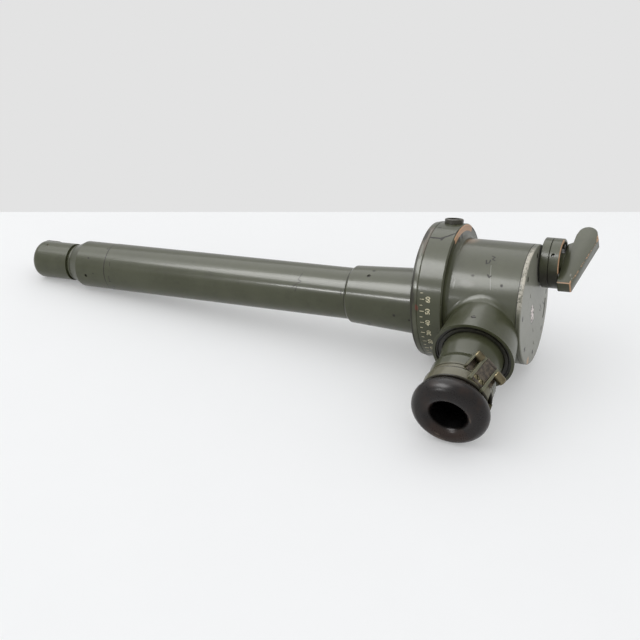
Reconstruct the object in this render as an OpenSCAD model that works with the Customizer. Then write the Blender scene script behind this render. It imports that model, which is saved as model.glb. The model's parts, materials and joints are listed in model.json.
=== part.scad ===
// Hand periscope with a right-angle eyepiece, lying on a table
// The instrument frame has X along the tube, from the head to the end plate,
// -Y along the eyepiece and Z upwards. Its origin is on the housing's axis at
// the front face of the flange ring. lay() puts that frame on the table.

/* [Housing] */
// Distance of the barrel's axis from the flange's axis, towards the eyepiece
barrel_shift = 2.3; // [2:0.1:2.6]
// Distance of the barrel's axis below the flange's axis
barrel_drop = 2.8; // [2.4:0.1:3]
// Wall of the housing barrel
housing_wall = 2.4; // [1.8:0.1:2.5]
// Length of the barrel, from the flange face to the end plate
housing_len = 64.3; // [64:0.5:72]
// Distance from the housing's axis to the tube's axis
tube_offset = 15.3; // [14.8:0.1:15.6]

/* [Flange] */
// Outer radius of the flange ring
flange_r = 46.3; // [45.5:0.1:50]
// Height of the flange ring over the barrel, on average
flange_step = 6; // [5.6:0.1:6.4]
// Width of the flange ring
flange_w = 17; // [15:0.2:18]
// Depth of the index ring's rim below the flange ring's
index_step = 0.4; // [0.3:0.1:1]
// Width of the index ring
index_w = 4.6; // [3.5:0.1:6]
// Radial thickness of the index ring
index_rim = 5.9; // [5.4:0.1:6.2]
// Thickness of the front plate's lip
lip_t = 1.4; // [1:0.1:2]
// Radius of the plug on the flange ring
plug_r = 6.4; // [4:0.1:6.5]
// Height of the plug above the flange ring
plug_h = 3; // [1:0.1:4]
// Angle of the plug round the flange ring
plug_angle = 119; // [110:1:140]
// Distance of the front plate's screws inside the barrel's radius
front_screw_inset = 6.9; // [6.6:0.1:7.1]

/* [Sleeve and tube] */
// Length of the tapered sleeve in front of the flange
sleeve_len = 51; // [40:0.5:60]
// Outer radius of the sleeve at its front end
sleeve_r1 = 20.1; // [19.9:0.1:20.6]
// Outer radius of the sleeve at the flange
sleeve_r2 = 22.7; // [21.8:0.1:22.9]
// Length of the main tube in front of the sleeve
tube_len = 199.8; // [175:0.1:225]
// Outer radius of the main tube at the sleeve
tube_r = 18.1; // [17.9:0.1:18.4]
// Outer radius of the main tube at the collar
tube_r1 = 17.9; // [17.8:0.1:18]
// Radius of the main tube's bore
tube_bore = 15.6; // [15.4:0.05:15.8]
// Length of the collar
collar_len = 26.6; // [20:0.2:30]
// Outer radius of the collar
collar_r = 17.75; // [17.3:0.05:17.8]
// Length of the cone between the collar and the neck
cone_len = 8.6; // [6:0.1:10]
// Outer radius of the neck
neck_r = 13.9; // [13.5:0.05:14.1]

/* [Head] */
// Length of the head from the neck to its rounded end
head_len = 35.5; // [34.5:0.1:37]
// Outer radius of the head
head_r = 14.4; // [14.2:0.05:14.7]
// Wall of the head
head_wall = 1.6; // [1.3:0.1:1.8]
// Radius of the head's rounded end edge
head_round = 5; // [3:0.5:6]
// Half width of the window frame
frame_r = 9.6; // [9:0.1:10]
// Thickness of the window frame
frame_t = 2.4; // [1.8:0.1:3]
// Length that the window frame stands out past the head
frame_over = 6.4; // [4:0.1:7]
// Half width of the window glass
glass_r = 6.5; // [6.2:0.1:6.7]

/* [Optics] */
// Radius of the tube's lenses
lens_r = 6; // [5.6:0.1:6.1]
// Length of each lens cell
cell_len = 9; // [7:0.5:12]
// Half size of both prisms
prism_half = 6.2; // [5.5:0.1:6.4]
// Half height of both prisms
prism_h = 6.6; // [6:0.1:6.8]

/* [Eyepiece] */
// Place of the eyepiece's axis along the housing
eye_x = 42.4; // [41.5:0.1:43]
// Outer radius of the boss where it leaves the barrel
boss_r1 = 22.6; // [22:0.1:24]
// Outer radius of the boss at its front rim
boss_r2 = 26.7; // [25.8:0.1:27]
// Distance from the tube's axis to the boss rim
boss_reach = 48.1; // [47:0.1:50]
// Radius of the bore that the eyepiece turns in
eye_bore = 18.05; // [17.8:0.05:18.1]
// Outer radius of the eyepiece tube at the boss
eye_r1 = 19.9; // [19.6:0.1:20.4]
// Outer radius of the eyepiece tube at its waist
eye_r2 = 18.8; // [18.4:0.1:19.2]
// Outer radius of the eyepiece tube behind the clamp band
eye_r3 = 20.9; // [20.4:0.1:21.2]
// Length of the eyepiece tube from the boss to its waist
waist_len = 16.4; // [14:0.1:18]
// Length of the flare behind the waist
flare_len = 6; // [5:0.5:7]
// Length of the cylinder behind the clamp band
rear_len = 10; // [9:0.5:11]
// Width of the clamp band
band_w = 8.5; // [8:0.5:9.5]
// Outer radius of the clamp band
band_r = 21.7; // [21.5:0.1:22.2]
// Outer radius of the rubber eyecup
cup_r = 24.5; // [24:0.1:26]
// Length of the rubber eyecup
cup_len = 15.5; // [14:0.5:16.5]
// Radius of the eyecup's opening
cup_bore = 11.6; // [11.2:0.1:12]

/* [Bracket] */
// Angle of the bracket round the eyepiece
bracket_angle = 49; // [40:1:60]
// Distance between the two ears of the bracket
ear_gap = 8; // [7.6:0.1:9]
// Thickness of each ear
ear_t = 1.4; // [1:0.1:1.8]
// Height of the ears above the eyepiece tube's largest radius
ear_h = 4.6; // [4.4:0.1:5.4]
// Radius of the cross pin
pin_r = 1.5; // [1.2:0.1:1.6]
// Length of the cross pin
pin_len = 20; // [19:0.5:24]

/* [Knob and lever] */
// Place of the knob across the end plate
knob_y = 23.8; // [23.4:0.1:24.1]
// Height of the knob on the end plate
knob_z = 13.2; // [12.8:0.1:13.6]
// Radius of the knob
knob_r = 16.9; // [15.5:0.1:18]
// Thickness of the knob's lower disc
base_t = 5.6; // [4:0.1:7]
// Thickness of the knob's upper disc
cap_t = 6.8; // [5.5:0.1:8]
// Radius of the knob's shaft
shaft_r = 3; // [2.5:0.1:3.2]
// Thickness of the lever
lever_t = 8.5; // [7:0.1:9.5]
// Reach of the lever's short end from the knob's axis
lever_back = 19.8; // [18:0.1:22]
// Reach of the lever's long end from the knob's axis
lever_reach = 31.4; // [29:0.2:36]
// Height of the lever at its short end
lever_h1 = 8.7; // [7:0.1:11]
// Height of the lever at its long end
lever_h2 = 19.6; // [17:0.1:22]
// Angle of the lever at rest
lever_angle = 11.7; // [0:0.1:20]

/* [End plate] */
// Thickness of the end plate
plate_t = 3.2; // [3:0.1:4]
// Radius of the circle of the end plate's screws
plate_screw_circle = 33.5; // [33:0.1:35]
// Number of the end plate's screws
plate_screws_n = 8; // [6:1:10]

/* [Elevation drive] */
// Module of the gear teeth
gear_m = 1; // [1:0.01:1.02]
// Teeth on the pinion
pinion_teeth = 10; // [10:1:10]
// Teeth on the full circle of the sector
sector_teeth = 54; // [54:1:55]
// Width of the pinion
pinion_w = 8; // [6.5:0.5:8]
// Radius of the elevation rod
rod_r = 1.5; // [1.3:0.1:1.5]
// Distance from the rod's axis to its crank pin
crank_r = 6; // [5.9:0.1:6.1]
// Outer radius of the rod's bushes
bush_r = 2.2; // [2:0.1:2.2]

/* [Fits] */
// Running clearance between a shaft and its bore
run_fit = 0.05; // [0.02:0.01:0.08]
// Gap between a seated piece and its seat
seat_gap = 0.1; // [0.05:0.01:0.2]
// Gap between a moving piece and its neighbour
move_gap = 0.3; // [0.25:0.01:0.4]

/* [Hidden] */
$fn = 96;
eps = 0.01;
paint = "#6f7264";
dark_paint = "#4c4d42";
plate_paint = "#8d8f84";
steel = "#b9b6ae";
brass = "#b39a5c";
rubber = "#2b2624";
glass = "#9db7b5";
black = "#1d1d1b";
housing_r = flange_r - flange_step;
barrel_eccentric = norm([barrel_shift, barrel_drop]);
bore_r = housing_r - housing_wall;
index_r = flange_r - index_step;
spigot_r = index_r - index_rim;
front_screw_circle = housing_r - front_screw_inset;
fillet_r = 3.4;
plate_x = housing_len + plate_t;
sleeve_x = -index_w - lip_t - sleeve_len;
tube_x = sleeve_x - tube_len;
collar_x = tube_x - collar_len;
neck_x = collar_x - cone_len;
neck_w = 1.5;
head_x = neck_x - neck_w;
groove_w = 2.2;
groove_r = 12.6;
head_end = head_x - head_len;
head_bore = head_r - head_wall;
pivot_x = head_end + 11;
flat_y = 9.4;
flat_len = 20.6;
frame_screw_in = 1.6;
flat_wall = 1.2;
sight_x = head_end + 10.6;
neck_bore = 11.4;
cheek_t = 1.4;
cheek_z = prism_h + 0.3;
pivot_pin_r = 1;
fork_x = 11.6;
fork_t = 1.4;
crank_pin_r = 0.6;
knob_dist = norm([knob_y + tube_offset, knob_z]);
rod_dist = knob_dist - gear_m * (pinion_teeth + sector_teeth) / 2;
rod_y = -tube_offset + rod_dist * (knob_y + tube_offset) / knob_dist;
rod_z = rod_dist * knob_z / knob_dist;
mesh_angle = atan2(knob_z, knob_y + tube_offset);
sector_w = 5;
pinion_x = housing_len - 4.1 - pinion_w;
pinion_pocket_r = gear_m * (pinion_teeth / 2 + 0.8) + 1.2;
sector_x = pinion_x + 1.5;
crank_x = pivot_x + fork_x + fork_t + 0.7;
crank_t = 2.6;
rod_start = crank_x + 0.4;
rod_end = housing_len - seat_gap;
seat_x = housing_len + 0.3;
seat_t = 1.6;
front_bore = front_screw_circle - 3.2;
front_len = 12;
seal_t = 0.8;
knob_x = plate_x + seal_t + move_gap;
cap_x = knob_x + base_t + seat_gap;
lever_x = cap_x + cap_t;
recess_d = 1.4;
knob_screw_gap = 9;
slot_d = 1;
slot_w = 0.9;
slot_h = 3.2;
plate_slot_places = [[-9.4, 14.5], [-8.3, -15.3], [-9.1, -25.7]];
arc_slot_r = housing_r - 9.6;
arc_slot_w = 2.8;
arc_slot_angle = 35;
arc_slot_turn = 25;
cap_screw_angles = [55, 125, 235, 305];
collar_screw_angles = [-8, 52, 172, 292];
rim_w = 1.8;
eye_shoulder = boss_reach - 1.6;
waist_t = boss_reach + waist_len;
flare_t = waist_t + flare_len;
band_t = flare_t + rear_len;
cup_t = band_t + band_w;
cup_end = cup_t + cup_len;
seal_r = boss_r2 - 2;
recess_t = boss_reach - 3.4;
eye_inner = 15.6;
cell_t = band_t - 1;
focus_len = 14;
pin_t = flare_t + 0.1;
pin_radial = eye_r3 + pin_r + 0.7;

// Resting angles: the collar, the flange ring and the eyecup touch the table
cup_ring = cup_r - cup_len / 2;
cup_mid = cup_end - cup_len / 2;
function incline_for(droop) = atan((flange_r - collar_r - tube_offset * sin(droop)) / -collar_x);
function droop_for(incline) =
    let (a = tube_offset + cup_mid, b = cup_ring,
         c = flange_r + eye_x * tan(incline) - cup_len / 2 / cos(incline))
    asin(c / norm([a, b])) - atan2(b, a);
function settle(droop, n) = n == 0 ? droop : settle(droop_for(incline_for(droop)), n - 1);
droop = settle(9, 6);
incline = incline_for(droop);
function laid(p) =
    let (y = p[1] * cos(droop) - p[2] * sin(droop),
         z = p[1] * sin(droop) + p[2] * cos(droop))
    [p[0] * cos(incline) - z * sin(incline), y, p[0] * sin(incline) + z * cos(incline)];
lever_dir = [0, cos(lever_angle), sin(lever_angle)];
lever_side = [0, -sin(lever_angle), cos(lever_angle)];
lever_hub = [lever_x, knob_y, knob_z];
lever_front = lever_hub + [lever_h2, 0, 0] + (lever_reach - 10) * lever_dir;
lever_tip = lever_hub + [lever_h2 * 0.6, 0, 0] + lever_reach * lever_dir;
frame_tip = [head_end - frame_over, flat_y - tube_offset + frame_t, 0];
eye_dir = laid([0, -1, 0]);
cup_centre = laid([eye_x, -tube_offset - cup_mid, 0]);
x_high = laid(lever_front - lever_side * lever_t / 2)[0];
x_low = laid(frame_tip)[0];
y_high = laid(lever_tip - lever_side * lever_t / 2)[1];
y_low = cup_centre[1] - cup_ring * sqrt(1 - eye_dir[1] * eye_dir[1]) - cup_len / 2;
rest_h = flange_r * cos(incline);

// Placing
module lay()
    translate([-(x_low + x_high) / 2, -(y_low + y_high) / 2, rest_h])
        rotate([0, -incline, 0])
            rotate([droop, 0, 0])
                children();

module housing_axis() rotate([0, 90, 0]) children();

module barrel_axis() translate([0, -barrel_shift, -barrel_drop]) rotate([0, 90, 0]) children();

module tube_axis() translate([0, -tube_offset, 0]) rotate([0, 90, 0]) children();

module eye_axis() translate([eye_x, -tube_offset, 0]) rotate([90, 0, 0]) children();

module knob_axis() translate([0, knob_y, knob_z]) rotate([0, 90, 0]) children();

module rod_axis() translate([0, rod_y, rod_z]) rotate([0, 90, 0]) children();

// Children stand on a cylinder about X, at an angle from -Y towards +Z
module on_round(x, r, angle) rotate([-angle, 0, 0]) translate([x, -r, 0]) rotate([90, 0, 0]) children();

// Shapes
// A turned solid from points of [place along the axis, radius]
module turned(points) rotate_extrude() polygon([for (p = points) [p[1], p[0]]]);

module ring(z, h, ro, ri)
    translate([0, 0, z])
        difference() {
            cylinder(h = h, r = ro);
            translate([0, 0, -eps]) cylinder(h = h + 2 * eps, r = ri);
        }

module slotted_screw(head_r, head_h, shank_r, shank_h)
    difference() {
        union() {
            cylinder(h = head_h, r = head_r, $fn = 32);
            translate([0, 0, -shank_h]) cylinder(h = shank_h + eps, r = shank_r, $fn = 32);
        }
        translate([-head_r, -head_r * 0.14, head_h - head_r * 0.35])
            cube([2 * head_r, head_r * 0.28, head_r]);
    }

module grub_screw(r, h)
    difference() {
        cylinder(h = h, r = r, $fn = 24);
        translate([-r, -r * 0.15, h - r * 0.5]) cube([2 * r, r * 0.3, r]);
    }

module lens(r, t, curve)
    intersection() {
        cylinder(h = t, r = r);
        translate([0, 0, t - curve]) sphere(r = curve, $fn = 200);
        translate([0, 0, curve]) sphere(r = curve, $fn = 200);
    }

function involute(rb, a) = rb * [cos(a) + a * PI / 180 * sin(a), sin(a) - a * PI / 180 * cos(a)];

// One flank of a tooth from its root, as [radius, angle from the tooth's middle]
function flank(teeth, m, backlash) =
    let (r = m * teeth / 2, rb = r * cos(25), rt = r + 0.8 * m, rr = r - 1.05 * m,
         half = 90 / teeth - backlash / r * 45 / PI + tan(25) * 180 / PI - 25,
         top = sqrt(rt * rt / rb / rb - 1) * 180 / PI, steps = 4,
         low = rr > rb ? sqrt(rr * rr / rb / rb - 1) * 180 / PI : 0,
         curve = [for (i = [0 : steps]) let (p = involute(rb, low + (top - low) * i / steps))
             [norm(p), half - atan2(p[1], p[0])]])
    concat(rr < rb ? [[rr, half]] : [], curve);

function polar(r, a) = [r * cos(a), r * sin(a)];

// Outline of a row of teeth, in order round the gear
function teeth_points(teeth, m, from, to, backlash) =
    let (f = flank(teeth, m, backlash), n = len(f) - 1)
    [for (i = [from : to]) let (c = i * 360 / teeth) each concat(
        [for (p = f) polar(p[0], c - p[1])],
        [for (j = [n : -1 : 0]) polar(f[j][0], c + f[j][1])]
    )];

// Right-angle prism in the XY plane with its square corner towards [sx, sy]
module prism(sx, sy, half, h)
    translate([0, 0, -h])
        linear_extrude(2 * h)
            polygon([[sx * half, sy * half], [-sx * half, sy * half], [sx * half, -sy * half]]);

// Housing
module boss_solid() cylinder(h = boss_reach, r1 = boss_r1 - 2.2, r2 = boss_r2);

module housing() {
    color(paint)
        difference() {
            union() {
                barrel_axis() cylinder(h = housing_len, r = housing_r);
                eye_axis() boss_solid();
            }
            barrel_axis() translate([0, 0, front_len]) cylinder(h = housing_len, r = bore_r);
            housing_axis() translate([0, 0, -1]) cylinder(h = front_len + 2, r = front_bore);
            barrel_axis() translate([0, 0, housing_len]) cylinder(h = 10, r = housing_r + move_gap);
            knob_axis() translate([0, 0, pinion_x - 3]) cylinder(h = pinion_w + 20, r = pinion_pocket_r);
            eye_axis() cylinder(h = boss_reach + 1, r = eye_bore + run_fit);
            eye_axis() translate([0, 0, recess_t]) cylinder(h = 10, r = seal_r);
            for (a = front_angles())
                on_front_circle(a) translate([0, 0, -1]) cylinder(h = 18, r = 1.6 + seat_gap, $fn = 32);
            eye_axis() translate([0, 0, boss_reach - 9]) rotate([-90, 0, 0])
                cylinder(h = 40, r = 1.5 + seat_gap, $fn = 24);
        }
}

module boss_screw() {
    color(dark_paint)
        eye_axis() translate([0, eye_bore + 1, boss_reach - 9]) rotate([-90, 0, 0]) grub_screw(1.5, 6.2);
}

module plug_hole(d) on_round(flange_w * 0.5, flange_r + 0.5 - d, plug_angle) children();

// Concave step from the flange ring down to the barrel
module flange_fillet()
    turned(concat(
        [[flange_w - 1, 0], [flange_w - 1, housing_r + fillet_r]],
        [for (i = [0 : 5]) let (a = i * 18)
            [flange_w + fillet_r * (1 - cos(a)), housing_r + fillet_r * (1 - sin(a))]],
        [[flange_w + fillet_r, 0]]
    ));

module flange_ring() {
    color(paint)
        difference() {
            union() {
                housing_axis()
                    turned([
                        [0, 0], [0, flange_r - 0.4], [0.4, flange_r], [flange_w - 1, flange_r],
                        [flange_w, flange_r - 1], [flange_w, 0]
                    ]);
                intersection() {
                    barrel_axis() flange_fillet();
                    housing_axis() cylinder(h = flange_w + 10, r = flange_r - 1);
                }
            }
            barrel_axis() translate([0, 0, -1]) cylinder(h = flange_w + 20, r = housing_r + seat_gap);
            plug_hole(4) cylinder(h = 10, r = plug_r + seat_gap);
        }
}

module flange_plug() {
    color(dark_paint)
        plug_hole(4 - seat_gap)
            difference() {
                union() {
                    cylinder(h = plug_h + 2.7, r = plug_r);
                    translate([0, 0, plug_h + 2.7 - eps]) cylinder(h = 0.6, r1 = plug_r, r2 = plug_r - 0.6);
                }
                translate([0, 0, plug_h + 2.2]) cylinder(h = 2, r = plug_r - 1.6);
                translate([-plug_r, -0.6, plug_h + 1.2]) cube([2 * plug_r, 1.2, 4]);
            }
}

module front_plate() {
    color(paint)
        difference() {
            union() {
                housing_axis() translate([0, 0, -index_w]) cylinder(h = index_w, r = spigot_r);
                housing_axis() translate([0, 0, -index_w - lip_t]) cylinder(h = lip_t, r = spigot_r + 2);
                housing_axis() cylinder(h = 5, r = front_bore - seat_gap);
            }
            tube_axis() translate([0, 0, -20]) cylinder(h = 40, r = tube_bore - 3.2);
            for (a = front_angles())
                on_front_circle(a) translate([0, 0, -2]) cylinder(h = 20, r = 1.6 + seat_gap, $fn = 32);
        }
}

// Angles that keep the screws clear of the sleeve
function front_angles() = [for (i = [0 : 5]) 60 + 48 * i];

module on_front_circle(a)
    translate([-index_w - lip_t, 0, 0])
        rotate([-a, 0, 0]) translate([0, -front_screw_circle, 0]) rotate([0, 90, 0]) children();

module front_plate_screws() {
    color(steel)
        for (a = front_angles())
            on_front_circle(a) translate([0, 0, 16]) mirror([0, 0, 1]) grub_screw(1.6, 15.6);
}

module index_ring() {
    color(paint)
        housing_axis()
            turned([
                [seat_gap - index_w, spigot_r + seat_gap], [seat_gap - index_w, index_r - 1],
                [1 - index_w, index_r], [-0.2, index_r], [-0.2, spigot_r + seat_gap]
            ]);
}

// End plate
module on_plate_circle(a)
    translate([plate_x, -barrel_shift, -barrel_drop])
        rotate([-a, 0, 0]) translate([0, -plate_screw_circle, 0]) rotate([0, 90, 0]) children();

function clear_of_knob(a) =
    let (y = -plate_screw_circle * cos(a) - barrel_shift, z = plate_screw_circle * sin(a) - barrel_drop)
    norm([y - knob_y, z - knob_z]) > knob_screw_gap;

function plate_angles() =
    [for (i = [0 : plate_screws_n - 1]) let (a = (i + 0.5) * 360 / plate_screws_n) if (clear_of_knob(a)) a];

module end_plate() {
    color(plate_paint)
        difference() {
            barrel_axis()
                turned([
                    [housing_len + seal_t / 2, 0], [housing_len + seal_t / 2, housing_r],
                    [plate_x - 0.6, housing_r], [plate_x, housing_r - 0.6], [plate_x, 0]
                ]);
            knob_axis() translate([0, 0, housing_len - 1]) cylinder(h = 10, r = shaft_r + 2.2);
            for (a = plate_angles()) on_plate_circle(a) {
                translate([0, 0, -1.2]) cylinder(h = 3, r = 1.7 + seat_gap, $fn = 32);
                translate([0, 0, -6]) cylinder(h = 8, r = 0.9 + seat_gap, $fn = 32);
            }
            arc_slot();
            for (p = plate_slot_places)
                translate([plate_x - slot_d, p[0] - barrel_shift, p[1] - barrel_drop])
                    translate([0, -slot_w / 2, -slot_h / 2]) cube([slot_d + 1, slot_w, slot_h]);
        }
}

// Curved groove near the plate's far edge
module arc_slot()
    translate([plate_x - slot_d, -barrel_shift, -barrel_drop])
        rotate([arc_slot_angle, 0, 0])
            rotate([0, 90, 0])
                rotate_extrude(angle = arc_slot_turn)
                    translate([arc_slot_r, 0]) square([arc_slot_w, slot_d + 1]);

module end_plate_screws() {
    color(steel)
        for (a = plate_angles())
            on_plate_circle(a) translate([0, 0, -1.1]) slotted_screw(1.7, 1.1, 0.9, 1.4);
}

module plate_gasket() {
    color(black)
        difference() {
            barrel_axis() ring(housing_len, seal_t / 2, housing_r - 0.4, bore_r + 0.2);
            knob_axis() translate([0, 0, housing_len - 1]) cylinder(h = 10, r = shaft_r + 3.4 + seat_gap);
        }
}

// Sleeve, tube and collar
module sleeve() {
    color(paint)
        tube_axis()
            difference() {
                turned([
                    [sleeve_x, tube_r + seat_gap], [sleeve_x, sleeve_r1 - 1.2], [sleeve_x + 1.6, sleeve_r1],
                    [-index_w - lip_t, sleeve_r2], [-index_w - lip_t, tube_bore],
                    [sleeve_x + 14, tube_bore], [sleeve_x + 14, tube_r + seat_gap]
                ]);
                for (s = sleeve_screw_places())
                    rotate(s[1]) translate([-25, 0, s[0]]) rotate([0, 90, 0])
                        cylinder(h = 10, r = 1.2 + seat_gap, $fn = 24);
            }
}

// Place along the sleeve and angle of each sleeve screw
function sleeve_screw_places() = [for (a = [100, 220, 340]) [sleeve_x + 15.5, a - 90]];

module sleeve_screws() {
    color(dark_paint)
        tube_axis()
            for (s = sleeve_screw_places())
                rotate(s[1]) translate([-16.2, 0, s[0]]) rotate([0, -90, 0]) grub_screw(1.2, 4);
}

module main_tube() {
    color(paint)
        tube_axis()
            turned([
                [tube_x, tube_bore], [tube_x, tube_r1], [sleeve_x, tube_r],
                [sleeve_x + 14 - seat_gap, tube_r], [sleeve_x + 14 - seat_gap, tube_bore]
            ]);
}

module collar() {
    color(paint)
        tube_axis()
            difference() {
                turned([
                    [tube_x + 7, tube_bore - 1.8], [tube_x + 7, tube_bore - run_fit],
                    [tube_x, tube_bore - run_fit], [tube_x, collar_r], [collar_x, collar_r],
                    [neck_x, neck_r], [head_x, neck_r], [head_x, neck_bore],
                    [neck_x + 2, neck_bore], [collar_x + 3, tube_bore - 1.8]
                ]);
                for (a = collar_screw_angles)
                    rotate(a - 90) translate([-25, 0, collar_x + 9]) rotate([0, 90, 0])
                        cylinder(h = 14, r = 1.1 + seat_gap, $fn = 24);
            }
}

module collar_screws() {
    color(dark_paint)
        tube_axis()
            for (a = collar_screw_angles)
                rotate(a - 90) translate([-14, 0, collar_x + 9]) rotate([0, -90, 0]) grub_screw(1.1, 2.9);
}

// Head
module obround(len, r) {
    circle(r);
    translate([len, 0]) circle(r);
    translate([0, -r]) square([len, 2 * r]);
}

// Children are drawn on the head's flat side, X along the tube and Z outwards
module on_flat() translate([head_end, flat_y - tube_offset, 0]) rotate([-90, 0, 0]) children();

module head_housing() {
    arc = [for (i = [0 : 6]) let (a = i * 15)
        [head_end + head_round * (1 - cos(a)), head_r - head_round + head_round * sin(a)]];
    color(paint)
        difference() {
            tube_axis()
                turned(concat(
                    [[head_end, 0]], arc,
                    [
                        [head_x - groove_w, head_r], [head_x - groove_w, groove_r],
                        [head_x, groove_r], [head_x, 0]
                    ]
                ));
            on_flat() translate([-1, -20, 0]) cube([flat_len + 1, 40, 20]);
            intersection() {
                tube_axis() translate([0, 0, head_end + head_wall]) cylinder(h = flat_len, r = head_bore);
                on_flat() translate([-1, -20, -40]) cube([flat_len + flat_wall + 1, 40, 40 - flat_wall]);
            }
            tube_axis() translate([0, 0, head_end + flat_len + flat_wall])
                cylinder(h = head_len - flat_len - flat_wall - groove_w - 3, r = head_bore);
            tube_axis() translate([0, 0, head_x - groove_w - 4]) cylinder(h = 20, r = neck_bore);
            window_cut(glass_r - 1, -8, 12);
            for (p = frame_screw_places())
                on_flat() translate([p[0], p[1], -2]) cylinder(h = 6, r = 0.7, $fn = 24);
            for (s = [0, 1])
                translate([pivot_x, -tube_offset, 0])
                    mirror([0, 0, s]) cylinder(h = 20, r = pivot_pin_r, $fn = 32);
        }
}

// Opening of the window, drawn r wide and from height z on the flat
module window_cut(r, z, h)
    on_flat() translate([sight_x - head_end - 0.5, 0, z]) linear_extrude(h) obround(1, r);

function frame_screw_places() = [[frame_screw_in, 0, 0], [flat_len - frame_screw_in, 0, 0]];

module window_frame() {
    color(dark_paint)
        difference() {
            on_flat()
                translate([frame_r - frame_over, 0, seat_gap / 2])
                    linear_extrude(frame_t) obround(flat_len - 0.1 + frame_over - 2 * frame_r, frame_r);
            window_cut(glass_r - 1, -1, 5);
            window_cut(glass_r + seat_gap, 0.8, 5);
            for (p = frame_screw_places()) on_flat() translate(p) {
                translate([0, 0, -1]) cylinder(h = 8, r = 0.7 + seat_gap, $fn = 24);
                translate([0, 0, 1.6]) cylinder(h = 8, r = 1 + seat_gap, $fn = 24);
            }
        }
}

module window_screws() {
    color(steel)
        on_flat()
            for (p = frame_screw_places())
                translate(p) translate([0, 0, 1.7]) slotted_screw(1, 0.6, 0.7, 3.4);
}

module window_glass() {
    color(glass, 0.5) window_cut(glass_r, 0.8 + seat_gap, 1.2);
}

// Cradle that tilts with the head prism, and its fork on the crank pin
module prism_cradle() {
    pin_y = rod_y + tube_offset;
    pin_z = rod_z - crank_r;
    slot = crank_pin_r + 0.15;
    color(black)
        translate([pivot_x, -tube_offset, 0])
            difference() {
                union() {
                    for (s = [0, 1])
                        mirror([0, 0, s])
                            translate([0, 0, cheek_z])
                                linear_extrude(cheek_t)
                                    polygon([
                                        [-7.4, 3], [-4.6, 6], [-2, 6.8], [2, 6.8], [7, 2],
                                        [7, -2], [4.6, -6], [2.8, -7.2]
                                    ]);
                    rotate(-45)
                        translate([-6.2, -2.2, -cheek_z - eps])
                            cube([12.4, 1.7, 2 * cheek_z + 2 * eps]);
                    translate([0, 3.4, -cheek_z - cheek_t]) cube([fork_x + fork_t, 3.4, cheek_t]);
                    translate([fork_x, 0, 0])
                        rotate([90, 0, 90])
                            linear_extrude(fork_t)
                                polygon([
                                    [3.4, -cheek_z - cheek_t], [6.8, -cheek_z - cheek_t], [6.8, pin_z - 2.8],
                                    [pin_y + 1.9, pin_z - 1.4], [pin_y + 1.9, pin_z + 1.8],
                                    [pin_y + slot, pin_z + 1.8], [pin_y + slot, pin_z - 1.2],
                                    [pin_y - slot, pin_z - 1.2], [pin_y - slot, pin_z + 1.8],
                                    [pin_y - 2.1, pin_z + 1.8], [pin_y - 2.1, pin_z - 2.6], [3.4, -cheek_z]
                                ]);
                }
                translate([0, 0, -20]) cylinder(h = 40, r = pivot_pin_r + run_fit, $fn = 32);
            }
}

module head_prism() {
    color(glass)
        translate([pivot_x, -tube_offset, 0])
            prism(1, 1, prism_half, prism_h);
}

module cradle_pins() {
    color(steel)
        for (s = [0, 1])
            translate([pivot_x, -tube_offset, 0])
                mirror([0, 0, s])
                    translate([0, 0, cheek_z + 0.2])
                        cylinder(h = head_r - cheek_z - 0.8, r = pivot_pin_r, $fn = 32);
}

// Lens cells
module cell(x, len)
    tube_axis()
        translate([0, 0, x])
            difference() {
                cylinder(h = len, r = tube_bore - run_fit);
                translate([0, 0, -1]) cylinder(h = len + 2, r = lens_r - 0.8);
                translate([0, 0, 2]) cylinder(h = len, r = lens_r + run_fit);
            }

// Seat of the rod's bush in a cell at x
module bush_seat(x)
    rod_axis() translate([0, 0, x - 1]) cylinder(h = cell_len + 2, r = bush_r + seat_gap, $fn = 48);

cell_span = (tube_len - 7 - 14) / 2;
function cell_x(i) = tube_x + 7 + seat_gap + i * (cell_span - cell_len / 3);

module objective_cell() {
    color(black)
        difference() {
            cell(cell_x(0), cell_len);
            bush_seat(cell_x(0));
        }
}

module objective_lens() {
    color(glass) tube_axis() translate([0, 0, cell_x(0) + 2 + seat_gap]) lens(lens_r, 3.6, 26);
}

module relay_cells() {
    color(black)
        for (i = [1, 2])
            difference() {
                cell(cell_x(i), cell_len);
                bush_seat(cell_x(i));
            }
}

module relay_lenses() {
    color(glass)
        tube_axis()
            for (i = [1, 2]) translate([0, 0, cell_x(i) + 2 + seat_gap]) lens(lens_r, 3.6, 30);
}

module spacer_tubes() {
    color(black)
        tube_axis()
            for (i = [0, 1])
                ring(
                    cell_x(i) + cell_len + seat_gap, cell_x(i + 1) - cell_x(i) - cell_len - 2 * seat_gap,
                    tube_bore - run_fit, tube_bore - 1.2
                );
}

// Eye prism
module eye_prism() {
    color(glass) translate([eye_x, -tube_offset, 0]) prism(-1, -1, prism_half, prism_h);
}

module prism_seat() {
    color(black)
        translate([eye_x, -tube_offset, 0])
            difference() {
                union() {
                    rotate(-45)
                        translate([-prism_half, 0.25, -prism_h - seat_t])
                            cube([2 * prism_half, seat_t, 2 * prism_h + seat_t]);
                    translate([-prism_half, -prism_half, -prism_h - seat_t - seat_gap])
                        cube([seat_x - eye_x + prism_half, 2 * prism_half - 1, seat_t]);
                    translate([seat_x - eye_x - seat_t, -prism_half, -prism_h - seat_t - seat_gap])
                        cube([seat_t, 2 * prism_half - 1, 6]);
                }
                translate([-eye_x, tube_offset, 0])
                    rod_axis() cylinder(h = 90, r = rod_r + 2 * move_gap, $fn = 32);
            }
}

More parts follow.
